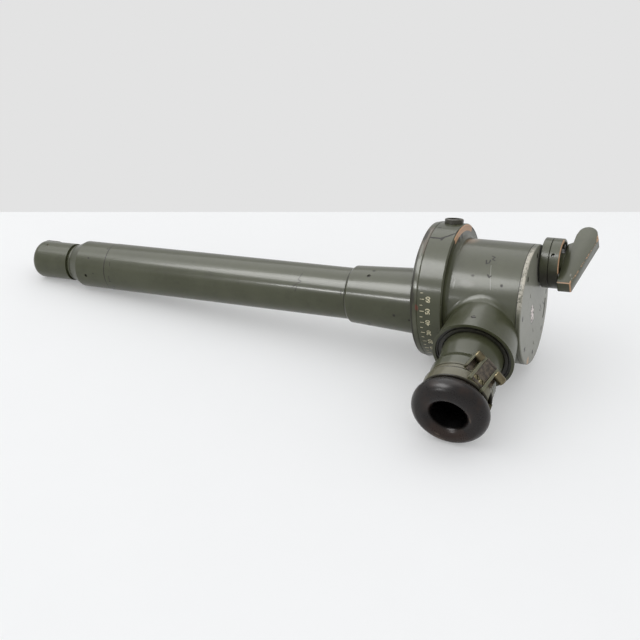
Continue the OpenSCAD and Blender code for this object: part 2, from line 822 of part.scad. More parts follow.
// Eyepiece
module seal_ring() {
    inner = eye_r1 + move_gap;
    color(black)
        eye_axis()
            turned([
                [recess_t + seat_gap, seal_r - seat_gap], [boss_reach - 0.9, seal_r - seat_gap],
                [boss_reach - 0.9, seal_r - 1.2], [boss_reach - 1.7, seal_r - 1.4],
                [boss_reach - 1.7, seal_r - 1.9], [boss_reach - 0.7, seal_r - 2.1],
                [boss_reach - 0.7, inner + 0.3], [boss_reach - 1, inner], [recess_t + seat_gap, inner]
            ]);
}

module eyepiece_tube() {
    color(paint)
        eye_axis()
            turned([
                [recess_t - 16, eye_inner], [recess_t - 16, eye_bore], [eye_shoulder, eye_bore],
                [eye_shoulder, eye_r1 - 0.5], [eye_shoulder + 0.6, eye_r1],
                [boss_reach + 1, eye_r1], [waist_t, eye_r2], [flare_t, eye_r3],
                [band_t, eye_r3], [band_t, eye_r3 - 2], [cup_t + 2, eye_r3 - 2],
                [cup_t + 2, cup_bore + 1], [cup_t, cup_bore + 1], [cup_t, eye_inner]
            ]);
}

module clamp_band() {
    color(paint)
        eye_axis()
            difference() {
                turned([
                    [band_t + seat_gap, eye_r3 - 2 + seat_gap], [band_t + seat_gap, band_r - 0.4],
                    [band_t + 0.5, band_r], [cup_t - 0.5, band_r], [cup_t - seat_gap, band_r - 0.4],
                    [cup_t - seat_gap, eye_r3 - 2 + seat_gap]
                ]);
                rotate(bracket_angle) translate([0, -ear_gap / 2 - ear_t - seat_gap, band_t])
                    cube([60, ear_gap + 2 * ear_t + 2 * seat_gap, band_w + 1]);
            }
}

// Children are drawn beside the eyepiece: X outwards, Y round it, Z along it
module on_bracket() eye_axis() rotate(bracket_angle) children();

ear_top = eye_r3 + ear_h;

module band_bracket() {
    color(paint)
        on_bracket()
            difference() {
                union() {
                    for (s = [-1, 1])
                        translate([0, s * (ear_gap + ear_t) / 2 + ear_t / 2, 0])
                            rotate([90, 0, 0])
                                linear_extrude(ear_t)
                                    polygon([
                                        [eye_r3 - 5, pin_t - 2], [ear_top - 0.8, pin_t - pin_r - 1.1],
                                        [ear_top, pin_t - pin_r], [ear_top, pin_t + pin_r + 1],
                                        [band_r + 0.7, cup_t - 1], [eye_r3 - 5, cup_t - 1]
                                    ]);
                    translate([0, ear_gap / 2 + 5.8, 0])
                        rotate([90, 0, 0])
                            linear_extrude(1)
                                polygon([
                                    [eye_r2, pin_t - pin_r - 0.8], [ear_top - 1.4, pin_t - pin_r - 0.8],
                                    [ear_top - 1.4, pin_t + pin_r], [eye_r3 + 0.3, band_t - 1.5],
                                    [eye_r3 - 5, band_t - 1.5]
                                ]);
                    translate([eye_r2 - 1, ear_gap / 2 + 0.5, pin_t - pin_r - 1.6])
                        cube([ear_top - 1.4 - eye_r2 + 1, 5, 1]);
                }
                translate([0, 0, eye_shoulder]) cylinder(h = 80, r = eye_r3 + seat_gap);
                translate([pin_radial, 30, pin_t]) rotate([90, 0, 0])
                    cylinder(h = 60, r = pin_r + run_fit, $fn = 48);
            }
}

module bracket_block() {
    color(dark_paint)
        on_bracket()
            difference() {
                translate([0, ear_gap / 2 - 0.3, 0])
                    rotate([90, 0, 0])
                        linear_extrude(ear_gap - 0.6)
                            polygon([
                                [eye_r2 - 2, pin_t + pin_r - 5], [ear_top - 1, pin_t + pin_r - 5],
                                [ear_top - 0.8, pin_t + pin_r + 2], [band_r + 0.2, band_t + 1],
                                [band_r + 0.2, cup_t - 2.4], [eye_r2 - 2, cup_t - 2.4]
                            ]);
                translate([0, 0, eye_shoulder]) cylinder(h = 80, r = eye_r3 + seat_gap);
                translate([pin_radial, 30, pin_t]) rotate([90, 0, 0])
                    cylinder(h = 60, r = pin_r + run_fit, $fn = 48);
                for (y = [-1, 1])
                    translate([0, y * 1.9, band_t + 4.6]) rotate([0, 90, 0])
                        cylinder(h = 60, r = 0.9 + seat_gap, $fn = 24);
            }
}

module bracket_screws() {
    color(steel)
        on_bracket()
            for (y = [-1, 1])
                translate([band_r + 0.3, y * 1.9, band_t + 4.6])
                    rotate([0, 90, 0]) rotate(35 * y) slotted_screw(1.6, 1.1, 0.9, 0.6);
}

module cross_pin() {
    color(steel)
        on_bracket()
            translate([pin_radial, ear_gap / 2 + 4.6, pin_t])
                rotate([90, 0, 0]) {
                    cylinder(h = pin_len - 1.6, r = pin_r, $fn = 48);
                    translate([0, 0, pin_len - 1.6 - eps]) cylinder(h = 1.6, r = pin_r - 0.3, $fn = 48);
                }
}

module rubber_eyecup() {
    mid = cup_len / 2;
    lip = [for (i = [0 : 10]) let (a = -70 + i * 22)
        [cup_t + mid + mid * sin(a), cup_ring + mid * cos(a)]];
    color(rubber)
        eye_axis()
            turned(concat(
                [[cup_t + seat_gap, eye_r3 - 1.9], [cup_t + seat_gap, eye_r3 + 0.4]],
                [for (p = lip) if (p[0] > cup_t + seat_gap + 0.1) p],
                [
                    [cup_end - 2.4, cup_bore + 4.6], [cup_end - 5.4, cup_bore + 1.8],
                    [cup_end - 9, cup_bore], [cup_t + 2 + seat_gap, cup_bore],
                    [cup_t + 2 + seat_gap, eye_r3 - 1.9]
                ]
            ));
}

module focus_cell() {
    color(black)
        eye_axis()
            difference() {
                translate([0, 0, cell_t - 10]) cylinder(h = focus_len, r = eye_inner - run_fit);
                translate([0, 0, cell_t - 20]) cylinder(h = 40, r = 11);
                translate([0, 0, cell_t - 10 + 2]) cylinder(h = 40, r = 12.6 + run_fit);
            }
}

module field_lens() {
    color(glass)
        eye_axis()
            translate([0, 0, recess_t - 12]) lens(eye_inner - run_fit, 6.5, 60);
}

module eye_lens() {
    color(glass) eye_axis() translate([0, 0, cell_t - 8 + seat_gap]) lens(12.6, 6, 34);
}

// Knob and lever
module knob_seal() {
    color(black) knob_axis() ring(plate_x, seal_t, knob_r - 3.4, shaft_r + 2.4);
}

module knob_base() {
    color(paint)
        knob_axis()
            turned([
                [knob_x, shaft_r + run_fit], [knob_x, knob_r - 0.5], [knob_x + 0.5, knob_r],
                [cap_x - seat_gap - 0.3, knob_r], [cap_x - seat_gap, knob_r - 0.3],
                [cap_x - seat_gap, shaft_r + run_fit]
            ]);
}

module knob_cap() {
    color(paint)
        difference() {
            knob_axis()
                turned([
                    [cap_x, shaft_r + run_fit], [cap_x, knob_r - 0.3], [cap_x + 0.3, knob_r],
                    [lever_x - 0.5, knob_r], [lever_x, knob_r - 0.5], [lever_x, knob_r - rim_w],
                    [lever_x - recess_d, knob_r - rim_w], [lever_x - recess_d, shaft_r + run_fit]
                ]);
            knob_set() cylinder(h = 20, r = 1.2 + seat_gap, $fn = 24);
            for (a = cap_screw_angles)
                cap_screw_place(a) translate([0, 0, -3]) cylinder(h = 6, r = 1 + seat_gap, $fn = 24);
        }
}

module knob_set()
    knob_axis()
        translate([0, 0, cap_x + 2.6])
            rotate(-55) rotate([90, 0, 0]) translate([0, 0, shaft_r + 3]) children();

module knob_setscrew() {
    color(black) knob_set() translate([0, 0, 1]) grub_screw(1.2, knob_r - shaft_r - 5.6);
}

module cap_screw_place(a)
    knob_axis() rotate(-lever_angle - 90 + a) translate([knob_r - 5.2, 0, lever_x - recess_d]) children();

module knob_screws() {
    color(steel)
        for (a = cap_screw_angles)
            cap_screw_place(a) translate([0, 0, seat_gap]) slotted_screw(1.7, 0.9, 1, 2.4);
}

// Outline of the lever: X along it from the knob's axis, Y outwards from the knob
function lever_outline() =
    let (r = 6.5, cx = lever_reach - r, cy = lever_h2 - r - 1.4)
    concat(
        [[-lever_back, 0.6], [-lever_back, lever_h1], [lever_reach - 10.4, lever_h2]],
        [for (i = [0 : 6]) let (a = 66 - i * 26) [cx + r * cos(a), cy + r * sin(a)]],
        [[lever_reach - 8, 4.4], [knob_r - 0.4, 3.4], [knob_r - 2.6, 0.6]]
    );

module lever() {
    color(paint)
        translate([lever_x, knob_y, knob_z])
            rotate([lever_angle, 0, 0])
                difference() {
                    union() {
                        translate([0, 0, -lever_t / 2])
                            linear_extrude(lever_t)
                                polygon([for (p = lever_outline()) [p[1], p[0]]]);
                        rotate([0, 90, 0])
                            translate([0, 0, -recess_d + seat_gap]) cylinder(h = recess_d + 1, r = 7.2);
                    }
                    rotate([0, 90, 0]) translate([0, 0, -5]) cylinder(h = 9, r = shaft_r + run_fit);
                }
}

module knob_shaft() {
    color(steel)
        knob_axis() translate([0, 0, pinion_x - 2]) cylinder(h = lever_x + 3 - pinion_x + 2, r = shaft_r);
}

module shaft_nut() {
    color(brass)
        knob_axis()
            difference() {
                translate([0, 0, pinion_x - 2]) cylinder(h = 1.8, r = shaft_r + 1.6, $fn = 6);
                translate([0, 0, pinion_x - 6]) cylinder(h = 12, r = shaft_r + run_fit);
            }
}

module knob_bush() {
    color(brass)
        knob_axis()
            difference() {
                union() {
                    translate([0, 0, housing_len - 3]) cylinder(h = 3.3, r = shaft_r + 3.4);
                    translate([0, 0, housing_len]) cylinder(h = plate_t, r = shaft_r + 2.2 - run_fit);
                }
                translate([0, 0, housing_len - 10]) cylinder(h = 30, r = shaft_r + run_fit);
            }
}

// Elevation drive
module drive_pinion() {
    color(brass)
        knob_axis()
            translate([0, 0, pinion_x])
                difference() {
                    linear_extrude(pinion_w)
                        rotate(270 + mesh_angle + 180 / pinion_teeth)
                            polygon(teeth_points(pinion_teeth, gear_m, 0, pinion_teeth - 1, 0.14));
                    translate([0, 0, -1]) cylinder(h = pinion_w + 2, r = shaft_r + run_fit);
                }
}

module sector_gear() {
    hub = [for (i = [0 : 8]) polar(4.4, 90 + i * 22.5)];
    color(brass)
        rod_axis()
            translate([0, 0, sector_x])
                difference() {
                    linear_extrude(sector_w)
                        rotate(90 + mesh_angle)
                            polygon(concat(hub, teeth_points(sector_teeth, gear_m, -3, 3, 0.14)));
                    translate([0, 0, -1]) cylinder(h = sector_w + 2, r = rod_r + run_fit, $fn = 48);
                }
}

module elevation_rod() {
    color(steel)
        rod_axis() translate([0, 0, rod_start]) cylinder(h = rod_end - rod_start, r = rod_r, $fn = 48);
}

module rod_crank() {
    color(brass)
        rod_axis()
            translate([0, 0, crank_x])
                difference() {
                    union() {
                        cylinder(h = crank_t, r = 2.2, $fn = 32);
                        translate([0, -1.2, 0]) cube([crank_r, 2.4, crank_t]);
                        translate([crank_r, 0, 0]) cylinder(h = crank_t, r = 1.2, $fn = 32);
                        translate([crank_r, 0, -fork_t - 1.2])
                            cylinder(h = fork_t + 1.2 + eps, r = crank_pin_r, $fn = 32);
                    }
                    translate([0, 0, 0.3]) cylinder(h = 9, r = rod_r + run_fit, $fn = 48);
                }
}

module rod_bushes() {
    color(brass)
        for (i = [0 : 2])
            rod_axis() ring(cell_x(i) + 0.2, cell_len - 0.4, bush_r, rod_r + run_fit);
    color(brass) rod_axis() ring(housing_len - 2.6, 2.9, 3.6, rod_r + run_fit);
}

lay() housing();
lay() flange_ring();
lay() flange_plug();
lay() front_plate();
lay() front_plate_screws();
lay() index_ring();
lay() end_plate();
lay() end_plate_screws();
lay() plate_gasket();
lay() sleeve();
lay() sleeve_screws();
lay() main_tube();
lay() collar();
lay() collar_screws();
lay() head_housing();
lay() window_frame();
lay() window_glass();
lay() window_screws();
lay() prism_cradle();
lay() head_prism();
lay() cradle_pins();
lay() objective_cell();
lay() objective_lens();
lay() relay_cells();
lay() relay_lenses();
lay() spacer_tubes();
lay() eye_prism();
lay() prism_seat();
lay() seal_ring();
lay() boss_screw();
lay() eyepiece_tube();
lay() focus_cell();
lay() field_lens();
lay() eye_lens();
lay() clamp_band();
lay() band_bracket();
lay() bracket_block();
lay() bracket_screws();
lay() cross_pin();
lay() rubber_eyecup();
lay() knob_seal();
lay() knob_base();
lay() knob_cap();
lay() knob_setscrew();
lay() knob_screws();
lay() lever();
lay() knob_shaft();
lay() knob_bush();
lay() shaft_nut();
lay() drive_pinion();
lay() sector_gear();
lay() elevation_rod();
lay() rod_crank();
lay() rod_bushes();
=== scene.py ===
import json
import math

import bmesh
import bpy
from mathutils import Matrix, Vector


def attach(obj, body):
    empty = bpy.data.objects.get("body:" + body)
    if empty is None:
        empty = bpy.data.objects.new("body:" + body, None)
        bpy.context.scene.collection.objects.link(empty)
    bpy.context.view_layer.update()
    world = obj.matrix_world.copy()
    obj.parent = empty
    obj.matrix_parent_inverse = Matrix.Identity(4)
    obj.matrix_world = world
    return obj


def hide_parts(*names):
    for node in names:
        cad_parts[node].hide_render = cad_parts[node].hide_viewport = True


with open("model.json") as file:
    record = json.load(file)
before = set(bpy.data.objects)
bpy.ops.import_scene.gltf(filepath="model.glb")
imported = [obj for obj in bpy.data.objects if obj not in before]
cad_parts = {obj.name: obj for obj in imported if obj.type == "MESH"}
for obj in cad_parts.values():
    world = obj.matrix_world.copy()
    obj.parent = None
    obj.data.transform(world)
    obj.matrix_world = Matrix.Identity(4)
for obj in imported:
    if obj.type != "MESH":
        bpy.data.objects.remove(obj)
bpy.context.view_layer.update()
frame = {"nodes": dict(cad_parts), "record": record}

MM = 0.001

# The instrument's own axes: X from the head to the end plate, -Y along the eyepiece
joints = {joint["name"]: joint for joint in frame["record"]["behaviour"]["joints"]}
along = Vector(joints["index_turn"]["axis"]).normalized()
across = -Vector(joints["dioptre_turn"]["axis"]).normalized()
LAY = Matrix((along, across, along.cross(across))).transposed().to_4x4()
LAY.translation = Vector(joints["index_turn"]["pos_m"])


def at(x, y, z):
    """A shift given in millimetres."""
    return Matrix.Translation(Vector((x, y, z)) * MM)


# Axes that the pieces are turned on, each with Z along the axis
TO_X = Matrix.Rotation(math.radians(90), 4, "Y")
TO_EYE = Matrix.Rotation(math.radians(90), 4, "X")
BARREL_Y, BARREL_Z = -2.3, -2.8
TUBE_Y = -15.3
EYE_X = 42.4
KNOB_Y, KNOB_Z = 23.8, 13.2
LEVER_X, LEVER_ANGLE = 81.1, 11.7
BRACKET_T, BRACKET_ANGLE, BRACKET_SKEW = 79, 44.5, -11
FLANGE = LAY @ TO_X
BARREL = LAY @ at(0, BARREL_Y, BARREL_Z) @ TO_X
EYE = LAY @ at(EYE_X, TUBE_Y, 0) @ TO_EYE
KNOB = LAY @ at(0, KNOB_Y, KNOB_Z) @ TO_X
BRACKET = (
    EYE @ Matrix.Rotation(math.radians(BRACKET_ANGLE), 4, "Z") @ at(0, 0, BRACKET_T)
    @ Matrix.Rotation(math.radians(BRACKET_SKEW), 4, "X") @ at(0, 0, -BRACKET_T)
)
LEVER = LAY @ at(LEVER_X, KNOB_Y, KNOB_Z) @ Matrix.Rotation(math.radians(LEVER_ANGLE), 4, "X")


def turned_size(node, where):
    """Start, end, largest and smallest radius of a CAD node about the Z axis of where, in mm."""
    inverse = where.inverted()
    points = [inverse @ vertex.co for vertex in frame["nodes"][node].data.vertices]
    places = [point.z / MM for point in points]
    radii = [point.xy.length / MM for point in points]
    return min(places), max(places), max(radii), min(radii)


# Sizes in mm, measured on the frame's nodes where they show them
RIM_START, RIM_END, RIM_R, RIM_BORE = turned_size("index_ring", FLANGE)
FLANGE_R = turned_size("flange_ring", FLANGE)[2]
FLANGE_W = 17
PLATE_X, BARREL_R = turned_size("end_plate", BARREL)[1:3]
BARREL_END = turned_size("plate_gasket", BARREL)[0]
EYE_START, EYE_END, EYE_R, EYE_BORE = turned_size("eyepiece_tube", EYE)
BAND_END, BAND_R, BAND_BORE = turned_size("clamp_band", EYE)[1:]
BAND_W = 7.5
BAND_START = BAND_END - BAND_W
CUP_START, CUP_END, CUP_R, CUP_BORE = turned_size("rubber_eyecup", EYE)
CAP_START, CAP_END, KNOB_R = turned_size("knob_cap", KNOB)[:3]
BOSS_END = turned_size("housing", EYE)[1]
BOSS_R, BOSS_ROOT_R = 26.7, 20.4
SEAM_T = 77.6
TUBE_R = 18
KNOB_FOOT = 69.1
THROAT_R = 12


# Shader maths
def feed(tree, socket, value):
    if isinstance(value, Field):
        tree.links.new(value.socket, socket)
    elif isinstance(value, (tuple, list)) and len(socket.default_value) == 4:
        socket.default_value = (*value, 1)[:4]
    else:
        socket.default_value = value


class Field:
    """A node's output that takes part in arithmetic."""

    def __init__(self, tree, socket):
        self.tree, self.socket = tree, socket

    def math(self, operation, *others):
        node = self.tree.nodes.new("ShaderNodeMath")
        node.operation = operation
        for socket, value in zip(node.inputs, (self, *others)):
            feed(self.tree, socket, value)
        return Field(self.tree, node.outputs[0])

    def __add__(self, other):
        return self.math("ADD", other)

    def __mul__(self, other):
        return self.math("MULTIPLY", other)

    def __sub__(self, other):
        return self.math("SUBTRACT", other)

    def __rsub__(self, other):
        return (self * -1) + other

    def __truediv__(self, other):
        return self.math("DIVIDE", other)

    def __abs__(self):
        return self.math("ABSOLUTE")

    __radd__, __rmul__ = __add__, __mul__

    def ramp(self, low, high):
        """0 at low, 1 at high, smooth between; high may be under low."""
        node = self.tree.nodes.new("ShaderNodeMapRange")
        node.interpolation_type = "SMOOTHSTEP"
        for name, value in (("Value", self), ("From Min", low), ("From Max", high)):
            feed(self.tree, node.inputs[name], value)
        return Field(self.tree, node.outputs[0])

    def near(self, place, width, soft):
        """1 within width of place, fading to 0 over soft."""
        return abs(self - place).ramp(width + soft, width)

    def length(self, other):
        return (self * self + other * other).math("SQRT")

    def angle(self, other):
        """Angle in degrees from this direction towards the other."""
        return other.math("ARCTAN2", self) * math.degrees(1)

    def largest(self, other):
        return self.math("MAXIMUM", other)

    def smallest(self, other):
        return self.math("MINIMUM", other)


def union(masks):
    """The largest of several masks."""
    whole, *others = masks
    for mask in others:
        whole = whole.largest(mask)
    return whole


class Surface:
    """Places on a surface: u along it, and v round it or up it in steps of unit, all in millimetres."""

    def __init__(self, u, v, unit=1, ragged=0):
        self.u, self.v, self.unit, self.ragged = u, v, unit, ragged

    def spot(self, u, v, width, height, soft=0.35):
        """1 inside an oval of the given half sizes, with an edge as ragged as the surface's."""
        far = ((self.u - u) / width).length((self.v - v * self.unit) / height)
        return (far + self.ragged).ramp(1 + soft, 1 - soft)

    def stroke(self, start, end, width, soft=0.3):
        """1 along a straight line from start to end, each (u, v)."""
        u0, v0, u1, v1 = start[0], start[1] * self.unit, end[0], end[1] * self.unit
        du, dv = u1 - u0, v1 - v0
        pu, pv = self.u - u0, self.v - v0
        share = ((pu * du + pv * dv) / (du * du + dv * dv)).largest(0).smallest(1)
        far = (pu - share * du).length(pv - share * dv)
        return (far + self.ragged * width).ramp(width / 2 + soft, width / 2)


class Finish:
    """A material under construction."""

    def __init__(self, name):
        self.material = bpy.data.materials.new(name)
        self.material.use_nodes = True
        self.tree = self.material.node_tree
        self.shader = self.tree.nodes["Principled BSDF"]

    def node(self, kind, settings=None, out=0, **sockets):
        """One output of a new node, with the settings made first and the sockets filled by name."""
        node = self.tree.nodes.new("ShaderNode" + kind)
        for key, value in (settings or {}).items():
            setattr(node, key, value)
        for key, value in sockets.items():
            feed(self.tree, node.inputs[key.replace("_", " ")], value)
        return Field(self.tree, node.outputs[out])

    def place(self, matrix=Matrix()):
        """Object coordinates, as those of a piece that stands at matrix."""
        base = self.node("TexCoord", out="Object")
        shift, turn, _ = matrix.decompose()
        texture = {"vector_type": "TEXTURE"}
        return self.node("Mapping", texture, Vector=base, Location=shift, Rotation=turn.to_euler())

    def split(self, vector):
        node = self.tree.nodes.new("ShaderNodeSeparateXYZ")
        feed(self.tree, node.inputs[0], vector)
        return [Field(self.tree, output) for output in node.outputs]

    def millimetres(self, where):
        """Coordinates in millimetres of a piece that stands at where."""
        return [value * (1 / MM) for value in self.split(self.place(where))]

    def around(self, y=0, z=0):
        """Place along X, radius, and angle from -Y towards +Z in degrees, about an axis at y and z in mm."""
        x, y, z = self.millimetres(LAY @ at(0, y, z))
        return x, y.length(z), (y * -1).angle(z)

    def around_eyepiece(self):
        """Place along the eyepiece, radius, and angle from +X towards +Z in degrees."""
        x, y, z = self.millimetres(LAY @ at(EYE_X, TUBE_Y, 0))
        return y * -1, x.length(z), x.angle(z)

    def noise(self, vector, size, detail=3, rough=0.55):
        """Values about 0.5 in patches of the given size in millimetres."""
        scale = 1 / (size * MM)
        return self.node("TexNoise", Vector=vector, Scale=scale, Detail=detail, Roughness=rough)

    def mix(self, amount, first, second):
        node = self.tree.nodes.new("ShaderNodeMix")
        node.data_type = "RGBA"
        for place, value in ((0, amount), (6, first), (7, second)):
            feed(self.tree, node.inputs[place], value)
        return Field(self.tree, node.outputs[2])

    def worn_edge(self, radius):
        """How far the surface turns within radius millimetres: 0 on flats, 1 at sharp edges."""
        bevel = self.node("Bevel", {"samples": 6}, Radius=radius * MM)
        normal = self.node("NewGeometry", out="Normal")
        product = self.tree.nodes.new("ShaderNodeVectorMath")
        product.operation = "DOT_PRODUCT"
        feed(self.tree, product.inputs[0], bevel)
        feed(self.tree, product.inputs[1], normal)
        return 1 - Field(self.tree, product.outputs["Value"])

    def finish(self, **sockets):
        for key, value in sockets.items():
            feed(self.tree, self.shader.inputs[key.replace("_", " ")], value)
        return self.material


def srgb(r, g, b):
    def linear(value):
        value /= 255
        return value / 12.92 if value <= 0.04045 else ((value + 0.055) / 1.055) ** 2.4

    return tuple(linear(value) for value in (r, g, b))


OLIVE = srgb(60, 62, 41)
OLIVE_LIGHT = srgb(74, 76, 56)
OLIVE_DARK = srgb(45, 45, 30)
PLATE_GREY = srgb(119, 119, 107)
# Dark brown-black for grime, scratches and dark joints, also used as painted shade on the knob's lower side.
GRIME_AND_SHADE = srgb(30, 27, 20)
BLACKENED = srgb(14, 14, 13)
BARE = srgb(188, 182, 168)
PRIMER = srgb(186, 146, 112)
SCUFF = srgb(136, 136, 126)
RUBBED_BROWN = srgb(98, 84, 74)
BROWN_OLIVE = srgb(108, 100, 76)
PINK_WHITE = srgb(232, 220, 216)
CREAM = srgb(208, 200, 168)
RED_MARK = srgb(112, 44, 32)


# Marks, each a list of (amount, colour, depth in the paint). Places are millimetres along a skin and
# degrees round it, and strokes and spots are read off the photograph.
def unrolled(place, turn, radius, ragged):
    """The skin of a turned piece laid flat, with v given in degrees."""
    unit = math.radians(radius)
    return Surface(place, turn * unit, unit, ragged)


FLANGE_CRACKS = [
    ((0.6, 85.4), (7.6, 85.2)), ((7.6, 85.2), (11.4, 88.5)), ((11.4, 88.5), (15.4, 93)),
    ((8.4, 83.6), (9.6, 86.4)),
]
FLANGE_POOLS = [(16.7, 96.6, 1, 2.6), (16.9, 106, 0.8, 2), (3.1, 101, 1.3, 0.9)]


def flange_marks(f, ragged):
    """Cracks and dirt on the ring, rubbed rims, and bare primer at the top of its rear face."""
    x, radius, turn = f.around()
    ring = unrolled(x, turn, FLANGE_R, ragged)
    skin = radius.ramp(FLANGE_R - 1.6, FLANGE_R - 0.8)
    cracks = union(ring.stroke(start, end, 1) for start, end in FLANGE_CRACKS)
    pools = union(ring.spot(*pool) for pool in FLANGE_POOLS)
    gap = x.ramp(FLANGE_W - 0.5, FLANGE_W - 0.2) * radius.near(FLANGE_R - 1.7, 0.4, 0.3)
    seam = x.near(-0.15, 0.3, 0.3) * skin
    darkening = union([cracks, gap, pools * 0.8, seam * 0.9])
    rims = x.ramp(1.3, 0.3).largest(x.ramp(FLANGE_W - 2.1, FLANGE_W - 1.3)) * skin
    rubbed = (rims + ragged * 2.4).ramp(1.1, 1.5) * 0.4
    rear_face = x.ramp(FLANGE_W - 0.7, FLANGE_W - 0.3) * radius.ramp(FLANGE_R - 5.5, FLANGE_R - 4)
    primer = (rear_face * turn.near(112, 24, 5) + ragged * 0.7).ramp(0.5, 0.7)
    darkening = (darkening - primer * 0.85).largest(0)
    red = ring.spot(0.6, 22, 0.7, 1.7, 0.3) * 0.6
    return [(rubbed, SCUFF, 0.1), (primer, PRIMER, 0.3), (darkening, GRIME_AND_SHADE, 1), (red, RED_MARK, 0)]


def rim_marks(f, ragged):
    """Index ring: rubbed and stained on top, with a dark front edge and its half of the red mark."""
    x, _, turn = f.around()
    ring = unrolled(x, turn, RIM_R, ragged)
    rubbed = (turn.near(84, 14, 10) * 0.75 + ragged * 2).ramp(0.4, 0.9)
    pale = ring.spot(-2, 41, 1.4, 2.4).largest(ring.spot(-2.6, 71, 1.2, 5) * 0.7)
    stains = ring.spot(-3, 88, 1.6, 6).largest(ring.spot(-2.4, 30, 1, 4) * 0.8)
    front_edge = x.near(-3.9, 0.7, 0.6) * turn.near(24, 40, 20)
    red = ring.spot(-0.2, 23, 0.6, 1.9, 0.3) * 0.6
    return [
        (rubbed * 0.6, RUBBED_BROWN, 0.2), (pale * 0.7, SCUFF, 0.1), (stains * 0.8, GRIME_AND_SHADE, 0.4),
        (front_edge * 0.75, GRIME_AND_SHADE, 0.3), (red, RED_MARK, 0),
    ]


def knob_marks(f, ragged):
    """Knob: painted shade on its lower side, darker in the recess, with primer showing along the upper disc's
    rim.
    """
    x, radius, turn = f.around(KNOB_Y, KNOB_Z)
    outer = radius.ramp(KNOB_R - 2.2, KNOB_R - 1.7) * radius.ramp(KNOB_R + 0.2, KNOB_R - 0.1)
    rim = x.ramp(CAP_END - 0.6, CAP_END - 0.3) * outer
    primer = (rim * turn.near(62, 42, 20) + ragged * 1.6).ramp(0.6, 0.8) * 0.85
    recess = x.near(CAP_END - 1.4, 0.3, 0.4) * radius.ramp(KNOB_R - 1.5, KNOB_R - 2)
    # Painted shade: the knob is darkened on its lower, front side.
    painted_shade_below = turn.near(-40, 40, 40)
    seam = x.near(CAP_START - 0.05, 0.15, 0.2) * 0.8
    foot = radius.ramp(KNOB_R - 2.6, KNOB_R - 3.4) * x.ramp(KNOB_FOOT + 0.3, KNOB_FOOT - 0.3)
    darkening = (painted_shade_below * 0.85).largest(recess * 0.75)
    return [(darkening, GRIME_AND_SHADE, 0), (seam.largest(foot), GRIME_AND_SHADE, 0.5), (primer, PRIMER, 0.4)]


BARREL_SCRATCHES = [
    ((42.4, 84.5), (44.6, 83), 0.5), ((44.6, 83), (43.2, 80.6), 0.5), ((43.2, 80.6), (45.1, 79), 0.5),
    ((39.6, 78.5), (40.2, 74.5), 0.6), ((40.2, 74.5), (42, 75.8), 0.5), ((42, 75.8), (42.2, 79), 0.5),
    ((43, 63), (44.2, 60.5), 0.6), ((44.2, 60.5), (45.3, 62.2), 0.5),
]


def barrel_marks(f, ragged):
    """Scratches and pale scuffs on the barrel, a faint stain on its top, and a nick on the boss."""
    x, _, turn = f.around(BARREL_Y, BARREL_Z)
    skin = unrolled(x, turn, BARREL_R, ragged)
    place, radius, boss_turn = f.around_eyepiece()
    boss = unrolled(place, boss_turn, BOSS_R, ragged)
    scratches = union(skin.stroke(*scratch) for scratch in BARREL_SCRATCHES)
    nicks = [
        skin.spot(53.3, 53.7, 0.9, 0.9, 0.2), skin.spot(33.4, 60.8, 1, 0.7) * 0.8,
        boss.spot(37.9, 90, 0.7, 0.9, 0.3),
    ]
    line = skin.stroke((43.6, 73), (46.4, 49), 0.3, 0.25) * 0.4
    scuffs = skin.spot(22, 51, 0.6, 3.2).largest(skin.spot(30.5, 52, 4.6, 2.2, 0.6) * 0.6) * 0.5
    lip = place.ramp(BOSS_END - 0.9, BOSS_END - 0.2) * radius.ramp(BOSS_R - 1.6, BOSS_R - 0.4)
    rubbed_lip = (lip + ragged).ramp(0.5, 1) * 0.5
    stain = skin.spot(24, 112, 3.4, 5, 0.9) * 0.3
    return [
        (line.largest(scuffs), SCUFF, 0.1), (rubbed_lip, OLIVE_LIGHT, 0), (stain, PRIMER, 0),
        (union([scratches, *nicks]), GRIME_AND_SHADE, 0.8),
    ]


PLATE_SCRATCHES = [
    ((13, -10.5), (15.5, -16), 0.45), ((20.5, -14), (24, -19), 0.5), ((10.5, -13), (13.2, -15.6), 0.4),
]


def plate_marks(f, ragged):
    """End plate: a flaked patch by the knob, a worn upper rim, and an olive edge."""
    x, radius, turn = f.around(BARREL_Y, BARREL_Z)
    _, y, z = f.millimetres(LAY @ at(0, BARREL_Y, BARREL_Z))
    face = Surface(y, z, 1, ragged * 2)
    patch = face.spot(-7.6, -1.8, 3.6, 6, 0.25)
    flakes = f.noise(f.place(LAY), 2.4, 3, 0.7).ramp(0.52, 0.56) * patch
    primed = (patch - flakes).largest(0)
    border = (face.spot(-7.6, -1.8, 4.3, 6.9, 0.2) - patch).largest(0)
    rim = radius.ramp(BARREL_R - 1.1, BARREL_R - 0.5)
    worn = (rim + ragged * 1.8).ramp(0.8, 1.1) * turn.near(68, 26, 16)
    chips = (rim + ragged * 3).ramp(1.3, 1.6) * 0.6
    scratches = union(face.stroke(*scratch) for scratch in PLATE_SCRATCHES)
    foot = face.spot(-25.7, -27.6, 2.6, 2, 0.6) * 0.7
    side = radius.ramp(BARREL_R - 0.9, BARREL_R - 0.3) * x.ramp(PLATE_X - 0.3, PLATE_X - 0.9) * 0.7
    return [
        (side, OLIVE, 0), (worn.largest(chips), BARE, 0.4), (foot, PRIMER, 0.3), (border * 0.6, GRIME_AND_SHADE, 0),
        (primed, PINK_WHITE, 0.6), (flakes, GRIME_AND_SHADE, 0.9), (scratches, GRIME_AND_SHADE, 0.6),
    ]


